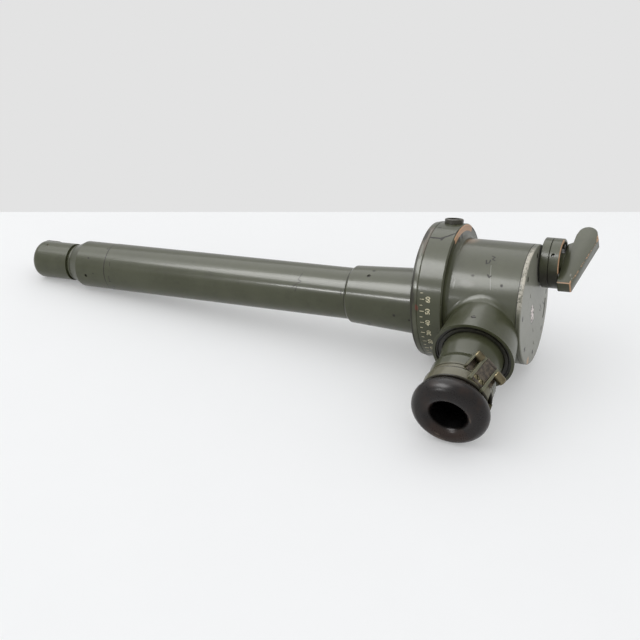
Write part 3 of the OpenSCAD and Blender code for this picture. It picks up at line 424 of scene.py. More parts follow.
TUBE_SCRATCHES = [
    ((-91.6, 74), (-93.4, 58), 0.3), ((-93.4, 58), (-91, 54), 0.35), ((-91, 54), (-94.4, 47), 0.3),
    ((-94.4, 47), (-97, 39), 0.35), ((-93.6, 42), (-94.5, 32), 0.3), ((-60, 46), (-59.6, 34), 0.35),
    ((-251.8, 49), (-251.4, 40), 0.3), ((-252.9, 14), (-252.6, 4), 0.3),
]
TUBE_NICKS = [
    (-39.7, 95, 1), (-19.4, 9, 1), (-39.7, -23, 1.1), (-8.6, 3.8, 0.8), (-272.1, 53.7, 0.8),
    (-267.1, 16.2, 0.6), (-252.9, -0.6, 0.8), (-251.4, -19, 0.8), (-258.7, 86, 0.7),
]
COLLAR_SEAM, SLEEVE_SEAM, NECK_SEAM = -256.8, -57.1, -292


def tube_marks(f, ragged):
    """Scratches and nicks along the tube, and dark seams where its pieces meet."""
    x, _, turn = f.around(TUBE_Y, 0)
    skin = unrolled(x, turn, TUBE_R, ragged)
    scratches = union(skin.stroke(*scratch, 0.35) for scratch in TUBE_SCRATCHES) * 0.7
    nicks = union(skin.spot(place, angle, size, size * 0.8, 0.3) for place, angle, size in TUBE_NICKS)
    seams = [x.near(COLLAR_SEAM, 0.25, 0.3), x.near(SLEEVE_SEAM, 0.3, 0.3), x.near(NECK_SEAM, 0.2, 0.4) * 0.6]
    rubbed = (x.near(COLLAR_SEAM + 0.9, 0.5, 0.5) * 0.4 + ragged).ramp(0.2, 0.7) * 0.5
    return [(rubbed, OLIVE_LIGHT, 0), (union([scratches, nicks, *seams]), GRIME_AND_SHADE, 0.8)]


def eyepiece_marks(f, ragged):
    """Eyepiece tube and band: browner towards the eyecup, with dark seams and a black bore."""
    place, radius, turn = f.around_eyepiece()
    skin = unrolled(place, turn, EYE_R, ragged)
    browner = place.ramp(SEAM_T - 3, SEAM_T + 1) * 0.45
    scuffs = (skin.spot(57, -6, 5, 2.4, 0.6) + ragged * 2).ramp(0.5, 0.9) * 0.3
    band_edge = (place.near(BAND_START + 0.9, 0.5, 0.4) + ragged * 2).ramp(0.9, 1.4) * 0.5
    seams = [
        place.near(SEAM_T, 0.15, 0.3) * 0.7, place.near(BAND_START, 0.3, 0.4),
        place.near(BAND_END, 0.3, 0.4) * 0.8, place.ramp(BOSS_END + 0.6, BOSS_END - 1.4) * 0.7,
    ]
    bore = radius.ramp(EYE_R - 3.4, EYE_R - 4)
    return [
        (browner, BROWN_OLIVE, 0), (scuffs.largest(band_edge), SCUFF, 0.1), (union(seams), GRIME_AND_SHADE, 0.6),
        (bore, BLACKENED, 0),
    ]


LEVER_HEEL, LEVER_TOE, WORN_END = (0.6, -19.8), (8.7, -19.8), (19.4, 20)


def lever_marks(f, ragged):
    """Lever: primer along its long edge, foot, corner and tip, and a few pale specks."""
    x, y, z = f.millimetres(LEVER)
    side = Surface(x, y)
    faces = abs(z).ramp(3.3, 3.9)
    broken = ragged * 3 + 0.6
    long_edge = side.stroke(LEVER_TOE, WORN_END, 0.5, 0.2) * faces * broken.ramp(0.5, 0.9)
    foot = side.stroke(LEVER_HEEL, LEVER_TOE, 0.6, 0.2) * faces * 0.9
    corner = side.spot(8.6, -19.4, 0.5, 2.2, 0.4)
    tip = side.spot(19, 22, 0.9, 3.4, 0.3) * faces * broken.ramp(0.5, 0.8)
    primer = union([long_edge, foot, corner, tip]) * 0.9
    specks = side.spot(7.6, -12.5, 0.5, 1.2, 0.5).largest(side.spot(9, -15.4, 0.4, 0.7, 0.5)) * faces
    darkening = y.near(-19.9, 0.25, 0.5) * 0.4
    return [(darkening, GRIME_AND_SHADE, 0.2), (specks * 0.6, SCUFF, 0.2), (primer, PRIMER, 0.4)]


DEEP = 0.25


def no_marks(f, ragged):
    return []


def olive_paint(name, marks=no_marks, base=OLIVE, light=OLIVE_LIGHT, dark=OLIVE_DARK, edges=0, rough=0.4):
    """Worn satin paint; edges is how far sharp edges are rubbed bare, and deep marks lose their gloss."""
    f = Finish(name)
    here = f.place(LAY)
    broad = f.noise(here, 26, 4)
    middle = f.noise(here, 6, 3)
    fine = f.noise(here, 1.4, 5, 0.65)
    colour = f.mix(broad.ramp(0.38, 0.68) * 0.45, base, light)
    colour = f.mix(middle.ramp(0.5, 0.75) * 0.25, colour, dark)
    colour = f.mix(fine.ramp(0.6, 0.8) * 0.3, colour, dark)
    nicks = f.noise(here, 2.6, 6, 0.7).ramp(0.73, 0.75) * 0.7
    colour = f.mix(nicks, colour, GRIME_AND_SHADE)
    height = fine * 0.3 - nicks
    dull = nicks
    ragged = (fine - 0.5) * 0.5 + (middle - 0.5) * 0.35
    if edges:
        edge = f.worn_edge(0.9)
        colour = f.mix(edge.ramp(0.02, 0.2) * 0.5, colour, light)
        chips = (edge + ragged * 0.5).ramp(0.16, 0.26) * edges
        tone = f.mix(f.noise(here, 5, 2).ramp(0.42, 0.52), BARE, PRIMER)
        colour = f.mix(chips, colour, tone)
        height = height - chips * 0.6
    for amount, tint, depth in marks(f, ragged):
        colour = f.mix(amount, colour, tint)
        height = height - amount * depth
        if depth > DEEP:
            dull = dull.largest(amount)
    return f.finish(
        Base_Color=colour,
        Roughness=rough + (fine - 0.5) * 0.2 + (broad - 0.5) * 0.15,
        Specular_IOR_Level=0.25,
        Coat_Weight=(1 - dull) * 0.4,
        Coat_Roughness=0.16,
        Normal=f.node("Bump", Strength=0.25, Distance=0.0003, Height=height),
    )


def metal(name, colour, dark, rough=0.35):
    f = Finish(name)
    here = f.place(LAY)
    broad = f.noise(here, 5, 4)
    fine = f.noise(here, 0.6, 3)
    return f.finish(
        Base_Color=f.mix(broad.ramp(0.4, 0.75) * 0.7, colour, dark),
        Metallic=1.0,
        Roughness=rough + (fine - 0.5) * 0.3,
        Normal=f.node("Bump", Strength=0.15, Distance=0.0002, Height=fine),
    )


def eyecup_rubber():
    """Aged hard rubber: satin, browner towards the foot, with pale scuffs in the funnel that are partly a
    painted highlight on its lower side, and painted shade down in the hole.
    """
    f = Finish("eyecup_rubber")
    here = f.place(LAY)
    place, radius, turn = f.around_eyepiece()
    broad = f.noise(here, 9, 4)
    fine = f.noise(here, 1.1, 4)
    base, brown = srgb(28, 24, 23), srgb(50, 35, 27)
    colour = f.mix(broad.ramp(0.45, 0.75) * 0.5, base, brown)
    foot = turn.near(-95, 30, 40) * radius.near(16, 3, 4)
    colour = f.mix((foot + (broad - 0.5)).ramp(0.3, 0.9) * 0.6, colour, brown)
    face = Surface(turn, radius, 1, fine - 0.5)
    # Pale brown spots in the funnel: scuffs, and on its lower side also a painted highlight.
    scuffs = [(-112, 19.3, 12, 0.8), (-118, 16.6, 6, 0.6), (4, 14.2, 8, 0.6)]
    scuffs_and_highlight = union(face.spot(*scuff, 0.5) for scuff in scuffs)
    colour = f.mix(scuffs_and_highlight * 0.45, colour, srgb(98, 84, 70))
    colour = f.mix(fine.ramp(0.62, 0.8) * 0.35, colour, srgb(70, 64, 62))
    # Painted shade: the rubber turns near black down inside the hole.
    throat_shade = radius.ramp(THROAT_R + 0.6, THROAT_R - 0.6) * place.ramp(CUP_END, CUP_END - 5)
    colour = f.mix(throat_shade, colour, srgb(8, 7, 7))
    return f.finish(
        Base_Color=colour,
        Roughness=0.3 + (fine - 0.5) * 0.2 + (broad - 0.5) * 0.15,
        Specular_IOR_Level=0.25,
        Normal=f.node("Bump", Strength=0.2, Distance=0.0003, Height=fine * 0.6 + broad),
    )


def seal_rubber():
    f = Finish("seal_rubber")
    grain = f.noise(f.place(LAY), 1.5, 4)
    return f.finish(
        Base_Color=f.mix(grain.ramp(0.4, 0.7), srgb(26, 25, 18), srgb(46, 45, 33)),
        Roughness=0.42 + (grain - 0.5) * 0.3,
    )


def optical_glass():
    f = Finish("coated_glass")
    haze = f.noise(f.place(LAY), 5, 3)
    return f.finish(
        Base_Color=f.mix(haze, srgb(60, 78, 92), srgb(44, 60, 70)),
        Roughness=0.04 + haze * 0.05,
        Transmission_Weight=0.85,
        IOR=1.52,
        Coat_Weight=0.5,
    )


def cream_paint():
    """Thin cream paint of the figures, rubbed through in places."""
    f = Finish("figure_paint")
    here = f.place(LAY)
    rubbed = f.noise(here, 1.2, 4, 0.7).ramp(0.52, 0.62)
    return f.finish(Base_Color=f.mix(rubbed * 0.8, CREAM, OLIVE_DARK), Roughness=0.5)


def block_paint():
    """Dark brown worn paint of the bracket block, rubbed bare at its edges."""
    f = Finish("bracket_block_paint")
    here = f.place(BRACKET)
    broad = f.noise(here, 2.4, 4, 0.7)
    fine = f.noise(here, 0.7, 3)
    colour = f.mix(broad.ramp(0.4, 0.62), srgb(52, 44, 34), srgb(88, 78, 62))
    edge = (f.worn_edge(0.5) + (fine - 0.5) * 0.4).ramp(0.12, 0.3)
    colour = f.mix(edge * 0.6, colour, BARE)
    return f.finish(
        Base_Color=colour, Roughness=0.5 + (fine - 0.5) * 0.3,
        Normal=f.node("Bump", Strength=0.4, Distance=0.0003, Height=broad + fine * 0.4),
    )


PAINT = olive_paint("olive_paint")
LEVER_PAINT = olive_paint("lever_paint", lever_marks)
SCREW_PAINT = olive_paint(
    "painted_screws", base=srgb(44, 42, 32), light=srgb(58, 56, 44), dark=srgb(28, 26, 20)
)
BRACKET_PAINT = olive_paint("bracket_paint", base=srgb(92, 92, 72), light=srgb(112, 110, 88), edges=0.5)
FLANGE_PAINT = olive_paint("flange_paint", flange_marks)
RIM_PAINT = olive_paint("index_ring_paint", rim_marks, light=srgb(104, 104, 88))
BARREL_PAINT = olive_paint("barrel_paint", barrel_marks)
TUBE_PAINT = olive_paint("tube_paint", tube_marks, rough=0.34)
KNOB_PAINT = olive_paint("knob_paint", knob_marks)
EYE_PAINT = olive_paint("eyepiece_paint", eyepiece_marks)
PLATE = olive_paint(
    "plate_paint", plate_marks, PLATE_GREY, srgb(132, 132, 122), srgb(104, 104, 92), rough=0.5
)
DARK_PAINT = olive_paint(
    "dark_olive_paint", base=srgb(50, 48, 36), light=srgb(66, 64, 50), dark=srgb(34, 32, 24), edges=0.3
)
STEEL = metal("worn_steel", srgb(168, 160, 142), srgb(84, 76, 62))
SCREW_STEEL = metal("painted_steel_screws", srgb(104, 98, 76), srgb(60, 54, 40), 0.4)
PIN_STEEL = metal("tarnished_pin", srgb(112, 104, 82), srgb(58, 52, 38), 0.38)
BRASS = metal("machined_brass", srgb(186, 150, 92), srgb(110, 84, 48), 0.3)
BLACK = metal("black_anodised", srgb(26, 26, 26), srgb(14, 14, 14), 0.6)
SEAL = seal_rubber()
RUBBER = eyecup_rubber()
GLASS = optical_glass()
FIGURES = cream_paint()
BLOCK = block_paint()

FINISHES = {
    "paint": PAINT, "plate_paint": PLATE, "dark_paint": DARK_PAINT, "steel": STEEL, "brass": BRASS,
    "black_metal": BLACK, "rubber": RUBBER, "seal_rubber": SEAL, "optical_glass": GLASS,
}
OWN_FINISHES = {
    "housing": BARREL_PAINT, "main_tube": TUBE_PAINT, "sleeve": TUBE_PAINT, "collar": TUBE_PAINT,
    "head_housing": TUBE_PAINT, "flange_ring": FLANGE_PAINT, "front_plate": FLANGE_PAINT,
    "knob_base": KNOB_PAINT, "knob_cap": KNOB_PAINT, "boss_screw": SCREW_PAINT, "sleeve_screws": SCREW_PAINT,
    "collar_screws": SCREW_PAINT, "end_plate_screws": SCREW_PAINT, "front_plate_screws": SCREW_PAINT,
    "knob_screws": SCREW_PAINT, "knob_setscrew": SCREW_PAINT,
}
slot_of = {part["node"]: part["material_slot"] for part in frame["record"]["subparts"]}
for name, obj in frame["nodes"].items():
    obj.data.materials.clear()
    obj.data.materials.append(OWN_FINISHES.get(name) or FINISHES[slot_of[name]])


# Making pieces
def piece(name, bm, where, body, finish, replaces=(), sharp=35):
    """Makes an object of bm, which is in millimetres, at the matrix where, and rides it on a body."""
    bmesh.ops.remove_doubles(bm, verts=bm.verts, dist=1e-4)
    bmesh.ops.dissolve_degenerate(bm, dist=1e-5, edges=bm.edges)
    bmesh.ops.recalc_face_normals(bm, faces=bm.faces)
    bmesh.ops.transform(bm, matrix=where @ Matrix.Scale(MM, 4), verts=bm.verts)
    mesh = bpy.data.meshes.new(name)
    bm.to_mesh(mesh)
    bm.free()
    mesh.polygons.foreach_set("use_smooth", [True] * len(mesh.polygons))
    mesh.set_sharp_from_angle(angle=math.radians(sharp))
    mesh.materials.append(finish)
    obj = bpy.data.objects.new(name, mesh)
    bpy.context.scene.collection.objects.link(obj)
    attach(obj, body)
    if replaces:
        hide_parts(*replaces)


def turned(profile, steps=128, angle=360):
    """A closed turned shape from points of (radius, place along Z), or the part of it within angle."""
    bm = bmesh.new()
    verts = [bm.verts.new((radius, 0, place)) for radius, place in profile]
    full = angle == 360
    geom = verts + [bm.edges.new((a, b)) for a, b in zip(verts, verts[1:] + verts[:1])]
    if not full:
        geom = geom + [bm.faces.new(verts)]
    bmesh.ops.spin(
        bm, geom=geom, axis=(0, 0, 1), cent=(0, 0, 0), steps=steps, angle=math.radians(angle), use_merge=full
    )
    return bm


def soften(bm, width, segments=3, over=30):
    """Rounds every edge that turns more than over degrees."""
    bmesh.ops.remove_doubles(bm, verts=bm.verts, dist=1e-4)
    bmesh.ops.recalc_face_normals(bm, faces=bm.faces)
    edges = [e for e in bm.edges if len(e.link_faces) == 2 and e.calc_face_angle() > math.radians(over)]
    bmesh.ops.bevel(
        bm, geom=edges, offset=width, offset_type="OFFSET", segments=segments, profile=0.5, affect="EDGES",
        clamp_overlap=True, material=-1,
    )
    return bm


def arc(centre, radius, start, end, steps=12):
    """Points of (radius, place) on an arc, with angles in degrees from outwards towards +Z."""
    turns = [math.radians(start + (end - start) * i / steps) for i in range(steps + 1)]
    return [(centre[0] + radius * math.cos(turn), centre[1] + radius * math.sin(turn)) for turn in turns]


def rounded(points, steps=5):
    """A closed outline of (a, b) or (a, b, corner), with each corner turned into an arc of that radius."""
    outline = []
    for i, (a, b, *corner) in enumerate(points):
        here = Vector((a, b))
        if not corner:
            outline.append((a, b))
            continue
        back = (Vector(points[i - 1][:2]) - here).normalized()
        ahead = (Vector(points[(i + 1) % len(points)][:2]) - here).normalized()
        half = back.angle(ahead) / 2
        centre = here + (back + ahead).normalized() * corner[0] / math.sin(half)
        start = here + back * corner[0] / math.tan(half) - centre
        end = here + ahead * corner[0] / math.tan(half) - centre
        outline += [tuple(centre + start.slerp(end, step / steps)) for step in range(steps + 1)]
    return outline


def plank(outline, thickness, where=Matrix()):
    """An outline of (x, y) made solid through thickness, centred on Z, and put at where in millimetres."""
    bm = bmesh.new()
    face = bm.faces.new([bm.verts.new((x, y, -thickness / 2)) for x, y in outline])
    moved = bmesh.ops.extrude_face_region(bm, geom=[face])["geom"]
    moved = [item for item in moved if isinstance(item, bmesh.types.BMVert)]
    bmesh.ops.translate(bm, vec=(0, 0, thickness), verts=moved)
    bmesh.ops.transform(bm, matrix=where, verts=bm.verts)
    return bm


def join(*parts):
    """One bmesh of several."""
    whole = bmesh.new()
    for part in parts:
        mesh = bpy.data.meshes.new("part")
        part.to_mesh(mesh)
        part.free()
        whole.from_mesh(mesh)
        bpy.data.meshes.remove(mesh)
    return whole


def swept(start, end, steps=12):
    """Points of (radius, place) on a smooth S from start to end."""
    points = []
    for step in range(steps + 1):
        share = step / steps
        ease = (1 - math.cos(math.pi * share)) / 2
        points.append((start[0] + (end[0] - start[0]) * ease, start[1] + (end[1] - start[1]) * share))
    return points


# Rubber eyecup: a fat ring round a funnel, on a sleeve that grips the eyepiece
def eyecup():
    half = (CUP_END - CUP_START) / 2
    foot = CUP_START + 1.9
    grip = EYE_R - 1.9
    return turned(
        [(grip, CUP_START), (EYE_R + 0.4, CUP_START)]
        + arc((CUP_R - half, CUP_END - half), half, -66, 68, 26)
        + arc((CUP_BORE + 6.2, CUP_END - 5.4), 5, 88, 176, 12)
        + [(CUP_BORE + 0.3, CUP_END - 8), (CUP_BORE, CUP_END - 10), (CUP_BORE, foot), (grip, foot)]
    )


# Eyepiece: a stem in the boss, then a waist that flares to the clamp band
STEM_R, TOP_R, NECK_R = 18.05, 19.9, 18.8
WAIST_T, NECK_T, FLARE_T = 49.1, 64.5, 70.5
SEAT_R = 15.6
SEAM_DEPTH = 0.25


def eyepiece_barrel():
    shoulder = BOSS_END - 1.6
    seam_r = EYE_R - SEAM_DEPTH
    band_step = BAND_START - 0.3
    stem = [(EYE_BORE + 3, EYE_START), (STEM_R, EYE_START), (STEM_R, shoulder)]
    top = [(TOP_R - 0.5, shoulder), (TOP_R, shoulder + 0.6)]
    waist = swept((TOP_R, WAIST_T), (NECK_R, NECK_T))[:-1] + swept((NECK_R, NECK_T), (EYE_R, FLARE_T))
    seam = [
        (EYE_R, SEAM_T - 0.25), (seam_r, SEAM_T - 0.15), (seam_r, SEAM_T + 0.15), (EYE_R, SEAM_T + 0.25),
    ]
    step = rounded([(EYE_R, BAND_START - 2.5), (EYE_R, band_step, 0.3), (EYE_R - 2, band_step)])[1:]
    end = [(EYE_R - 2, EYE_END), (EYE_BORE, EYE_END)]
    bore = [(EYE_BORE, CUP_START), (SEAT_R, CUP_START), (SEAT_R, EYE_START)]
    return turned(stem + top + waist + seam + step + end + bore)


# Clamp band, open where the bracket stands
BAND_GAP = 11


def band():
    gap = 2 * math.degrees(math.asin(BAND_GAP / 2 / BAND_R))
    section = [
        (BAND_BORE, BAND_START), (BAND_R, BAND_START, 0.6), (BAND_R, BAND_END, 0.6), (BAND_BORE, BAND_END),
    ]
    bm = turned(rounded(section), 120, 360 - gap)
    half_turn = Matrix.Rotation(math.radians(gap / 2), 4, "Z")
    bmesh.ops.transform(bm, matrix=half_turn, verts=bm.verts)
    return bm


# Bracket over the gap: outlines are (outwards, along) and stand at places round the band
UPRIGHT = Matrix.Rotation(math.radians(90), 4, "X")
PIN_OUT, PIN_T = 23.1, 70.6
PIN_R, PIN_END_R, PIN_RIGHT = 1.5, 2.25, -12.6
EAR_PLACE, EAR_T, CHEEK_PLACE = 5.2, 1.9, 11
EAR = [
    (19.6, 68.2), (24.7, 67.8, 0.9), (25.7, 69.4, 0.9), (25.5, 73.1, 2.4), (22.9, BAND_END - 0.4, 0.4),
    (19.6, BAND_END - 0.4),
]
CHEEK = [(18, 68), (24.3, 68, 0.8), (24.3, 72.1, 1), (21.2, 81, 0.3), (18, 81)]
BLOCK_SIDE = [
    (19.6, 67.3), (24.3, 67.3, 0.4), (24.7, 69, 0.3), (24.2, 70.2), (24.7, 71.2, 0.3), (24.6, 74.1, 2),
    (22.5, 81.5, 1), (22.5, 87.2, 0.4), (19.6, 87.2),
]
# Sizes and places of the dark sheets put in the pockets beside the block as painted shade.
POCKET_T, POCKET_W, POCKET_IN = 72, 4.2, 17
SHADED_POCKETS = (EAR_PLACE + EAR_T + 0.6, 20.1), (-EAR_PLACE - EAR_T - 0.4, 20.3)
SCREW_OUT, SCREW_PLACE, SCREW_T = 22.5, 2.15, 84.6
SCREW_R, SCREW_FOOT, SCREW_RISE = 2.1, -0.6, 1.3
SCREW_SLOT, SCREW_TURN = 0.6, 40


def upright(outline, thickness, place, edge):
    where = Matrix.Translation((0, place, 0)) @ UPRIGHT
    return soften(plank(rounded(outline), thickness, where), edge, 2, 50)


def bracket():
    """Two ears, and a cheek that a web ties to the nearer one."""
    ears = [upright(EAR, EAR_T, side * EAR_PLACE, 0.3) for side in (-1, 1)]
    inner, outer = CHEEK[0][0] - 0.2, CHEEK[1][0] - 0.3
    web = [(inner, EAR_PLACE), (outer, EAR_PLACE), (outer, CHEEK_PLACE), (inner, CHEEK_PLACE)]
    web = plank(web, 1, Matrix.Translation((0, 0, CHEEK[0][1])))
    return join(*ears, upright(CHEEK, 1, CHEEK_PLACE, 0.2), soften(web, 0.2, 2))


def bracket_core():
    """Block between the ears, with dark sheets low in the pockets beside it as painted shade."""
    half = EAR_PLACE - EAR_T / 2
    parts = [upright(BLOCK_SIDE, 2 * half - 0.5, 0, 0.35)]
    for place, reach in SHADED_POCKETS:
        # Each sheet is a dark plate that stands in for the shade in its pocket.
        end = BAND_START + 1
        shade_sheet = [(POCKET_IN, POCKET_T), (reach, POCKET_T), (reach, end), (POCKET_IN, end)]
        parts.append(upright(shade_sheet, POCKET_W, place, 0.1))
    return join(*parts)


def cross_pin():
    """Pin through the ears, with a thick turned end on each side."""
    ear = EAR_PLACE + EAR_T / 2 + 0.1
    left = CHEEK_PLACE - 0.2
    bm = turned(rounded([
        (0, PIN_RIGHT), (PIN_END_R - 0.4, PIN_RIGHT, 0.3), (PIN_END_R, PIN_RIGHT + 0.7, 0.4),
        (PIN_END_R, -ear, 0.2), (PIN_R, -ear), (PIN_R, ear), (PIN_END_R, ear, 0.2), (PIN_END_R, left, 0.3),
        (0, left),
    ]), 48)
    where = Matrix.Translation((PIN_OUT, 0, PIN_T)) @ UPRIGHT.inverted()
    bmesh.ops.transform(bm, matrix=where, verts=bm.verts)
    return bm


def slotted_screw():
    """Domed head as two halves on a disc, with the slot between them."""
    half_slot = SCREW_SLOT / 2
    rise = [math.radians(turn) for turn in range(0, 91, 15)]
    domed = SCREW_R - half_slot
    dome = [(half_slot + domed * math.cos(turn), SCREW_RISE * math.sin(turn)) for turn in rise]
    parts = [turned([(0, SCREW_FOOT), (SCREW_R, SCREW_FOOT), (SCREW_R, 0.3), (0, 0.3)], 40)]
    for turn in (0, 180):
        half = turned([(half_slot, SCREW_FOOT), (SCREW_R, SCREW_FOOT)] + dome, 24, 180)
        moved = Matrix.Rotation(math.radians(turn), 4, "Z") @ Matrix.Translation((0, half_slot, 0))
        bmesh.ops.transform(half, matrix=moved, verts=half.verts)
        parts.append(half)
    return join(*parts)


def bracket_screws():
    """Two screws near the block's foot."""
    screws = []
    for side in (-1, 1):
        screw = slotted_screw()
        where = Matrix.Translation((SCREW_OUT, side * SCREW_PLACE, SCREW_T)) @ TO_X
        turned_in = Matrix.Rotation(math.radians(SCREW_TURN), 4, "Z")
        bmesh.ops.transform(screw, matrix=where @ turned_in, verts=screw.verts)
        screws.append(screw)
    return join(*screws)


# Turning lever: a broad blade that leans out and runs to a round end, on a round foot
LEVER_W = 8.5
LEVER_EYE_R, LEVER_HOLE_R = 7.2, 3.05
SHOULDER = 19.6, 21


def lever():
    blade = [(*LEVER_HEEL, 0.3), (*LEVER_TOE, 0.5), SHOULDER] + arc((11.7, 24.9), 6.5, 24, 168, 14)
    blade = plank(rounded(blade + [(4.4, 23.4), (3.4, 16.5, 0.6), (0.6, 14.3)]), LEVER_W)
    foot = turned([(LEVER_HOLE_R, -1.3), (LEVER_EYE_R, -1.3), (LEVER_EYE_R, 1), (LEVER_HOLE_R, 1)], 64)
    bmesh.ops.transform(foot, matrix=TO_X, verts=foot.verts)
    return join(soften(blade, 0.45, 2, 40), foot)


# Index ring with rounded rims
def index_ring():
    return turned(rounded([
        (RIM_BORE, RIM_START), (RIM_R, RIM_START, 0.9), (RIM_R, RIM_END, 0.25), (RIM_BORE, RIM_END)
    ]), 192)


# Fillet where the eyepiece boss meets the barrel, as rings round the boss
FILLET = 3.2
BOSS_FLARE = (BOSS_R - BOSS_ROOT_R) / BOSS_END


def barrel_reach(height):
    """How far along the eyepiece's axis the barrel's skin lies, at a height above that axis."""
    return TUBE_Y - BARREL_Y + math.sqrt(BARREL_R ** 2 - (height - BARREL_Z) ** 2)


def beside_boss(radius, reach, turn):
    """A point at a radius about the eyepiece's axis and a reach along it."""
    return Vector((EYE_X + radius * math.cos(turn), TUBE_Y - reach, radius * math.sin(turn)))


def boss_fillet():
    bm = bmesh.new()
    steps, curve_steps = 120, 6
    rows = [[] for _ in range(curve_steps + 2)]
    for step in range(steps):
        turn = 2 * math.pi * step / steps
        radius = (BOSS_R + BOSS_ROOT_R) / 2
        for _ in range(4):
            reach = barrel_reach(radius * math.sin(turn))
            radius = BOSS_ROOT_R + BOSS_FLARE * reach
        width = max(0.05, min(FILLET, (BARREL_END - EYE_X - radius * math.cos(turn)) * 0.8))
        foot_reach = barrel_reach((radius + width) * math.sin(turn)) - 0.05
        foot = beside_boss(radius + width, foot_reach, turn)
        corner = beside_boss(radius, reach, turn)
        top = beside_boss(radius + BOSS_FLARE * width - 0.05, reach + width, turn)
        for i in range(curve_steps + 1):
            share = i / curve_steps
            place = foot.lerp(corner, share).lerp(corner.lerp(top, share), share)
            rows[i].append(bm.verts.new(place))
        rows[-1].append(bm.verts.new(beside_boss(radius - 1, reach - 1, turn)))
    rings = [[bm.edges.new((a, b)) for a, b in zip(row, row[1:] + row[:1])] for row in rows]
    for first, second in zip(rings, rings[1:] + rings[:1]):
        bmesh.ops.bridge_loops(bm, edges=first + second)
    return bm


# Degree scale on the flange, with plain figures
SCALE_ENDS = -30, 35
SCALE_STEP, LABELLED = 5, 10
TICK_START = 2.4
FIGURE_SIZE, FIGURE_FOOT = 4.2, 9.2


def wrap(bm, turn):
    """Bends a flat shape, with X to go round the flange and Y towards the head, on to the flange."""
    for vert in bm.verts:
        angle = math.radians(turn) + vert.co.x / FLANGE_R
        r = FLANGE_R + vert.co.z
        vert.co = Vector((-vert.co.y, -r * math.cos(angle), r * math.sin(angle)))
    return bm


def tick(turn):
    reach = 2.8 if turn % LABELLED == 0 else 1.8
    bm = bmesh.new()
    bmesh.ops.create_grid(bm, x_segments=1, y_segments=4, size=0.5)
    bmesh.ops.scale(bm, vec=(0.4, reach, 1), verts=bm.verts)
    bmesh.ops.translate(bm, vec=(0, -TICK_START - reach / 2, 0.05), verts=bm.verts)
    bmesh.ops.solidify(bm, geom=list(bm.faces), thickness=0.15)
    return wrap(bm, turn)


def figure(words, turn):
    curve = bpy.data.curves.new("figure", "FONT")
    curve.body = words
    curve.size = FIGURE_SIZE
    curve.extrude = 0.06
    curve.offset = 0.07
    curve.align_x = "CENTER"
    obj = bpy.data.objects.new("figure", curve)
    bpy.context.scene.collection.objects.link(obj)
    bpy.context.view_layer.update()
    mesh = bpy.data.meshes.new_from_object(obj.evaluated_get(bpy.context.evaluated_depsgraph_get()))
    bpy.data.objects.remove(obj)
    bpy.data.curves.remove(curve)
    bm = bmesh.new()
    bm.from_mesh(mesh)
    bpy.data.meshes.remove(mesh)
    bmesh.ops.remove_doubles(bm, verts=bm.verts, dist=1e-4)
    bmesh.ops.translate(bm, vec=(0, -FIGURE_FOOT, 0.02), verts=bm.verts)
    return wrap(bm, turn)


def scale():
    turns = range(SCALE_ENDS[0], SCALE_ENDS[1] + 1, SCALE_STEP)
    figures = [figure(str(turn - SCALE_ENDS[0]), turn) for turn in turns if turn % LABELLED == 0]
    return join(*[tick(turn) for turn in turns], *figures)


piece("eyecup_ring", eyecup(), EYE, "eyepiece", RUBBER, ["rubber_eyecup"])
piece("eyepiece_barrel", eyepiece_barrel(), EYE, "eyepiece", EYE_PAINT, ["eyepiece_tube"])
piece("split_band", band(), EYE, "eyepiece", EYE_PAINT, ["clamp_band"])
piece("bracket_ears", bracket(), BRACKET, "eyepiece", BRACKET_PAINT, ["band_bracket"])
piece("bracket_core", bracket_core(), BRACKET, "eyepiece", BLOCK, ["bracket_block"])
piece("slotted_screws", bracket_screws(), BRACKET, "eyepiece", SCREW_STEEL, ["bracket_screws"])
piece("bracket_pin", cross_pin(), BRACKET, "eyepiece", PIN_STEEL, ["cross_pin"])
piece("lever_blade", lever(), LEVER, "control", LEVER_PAINT, ["lever"])
piece("turning_ring", index_ring(), FLANGE, "index", RIM_PAINT, ["index_ring"])
piece("boss_fillet", boss_fillet(), LAY, "body", BARREL_PAINT)
piece("flange_scale", scale(), LAY, "body", FIGURES, sharp=20)

# Camera, at the photograph's place
CAMERA_PLACE = Vector((0.29998, -0.57842, 0.36727))
CAMERA_PITCH = 28.574
CAMERA_HEADING = 23.865
camera_data = bpy.data.cameras.new("camera")
camera_data.lens = 57.92
camera_data.sensor_width = 36
camera = bpy.data.objects.new("camera", camera_data)
camera.location = CAMERA_PLACE
camera.rotation_euler = (math.radians(90 - CAMERA_PITCH), 0, math.radians(CAMERA_HEADING))
bpy.context.scene.collection.objects.link(camera)
bpy.context.scene.camera = camera


def seen_directly(tree):
    """1 for what the camera, metal and glass see."""
    paths = tree.nodes.new("ShaderNodeLightPath")
    seen = Field(tree, paths.outputs["Is Camera Ray"])
    for ray in ("Is Glossy Ray", "Is Transmission Ray"):
        seen = seen.largest(Field(tree, paths.outputs[ray]))
    return seen


# Table, which ends where the photograph's does, in metres from the camera
TABLE_FAR, TABLE_NEAR, TABLE_SIDE = 0.883, -8, 6
WHITE_SHARE = 0.25


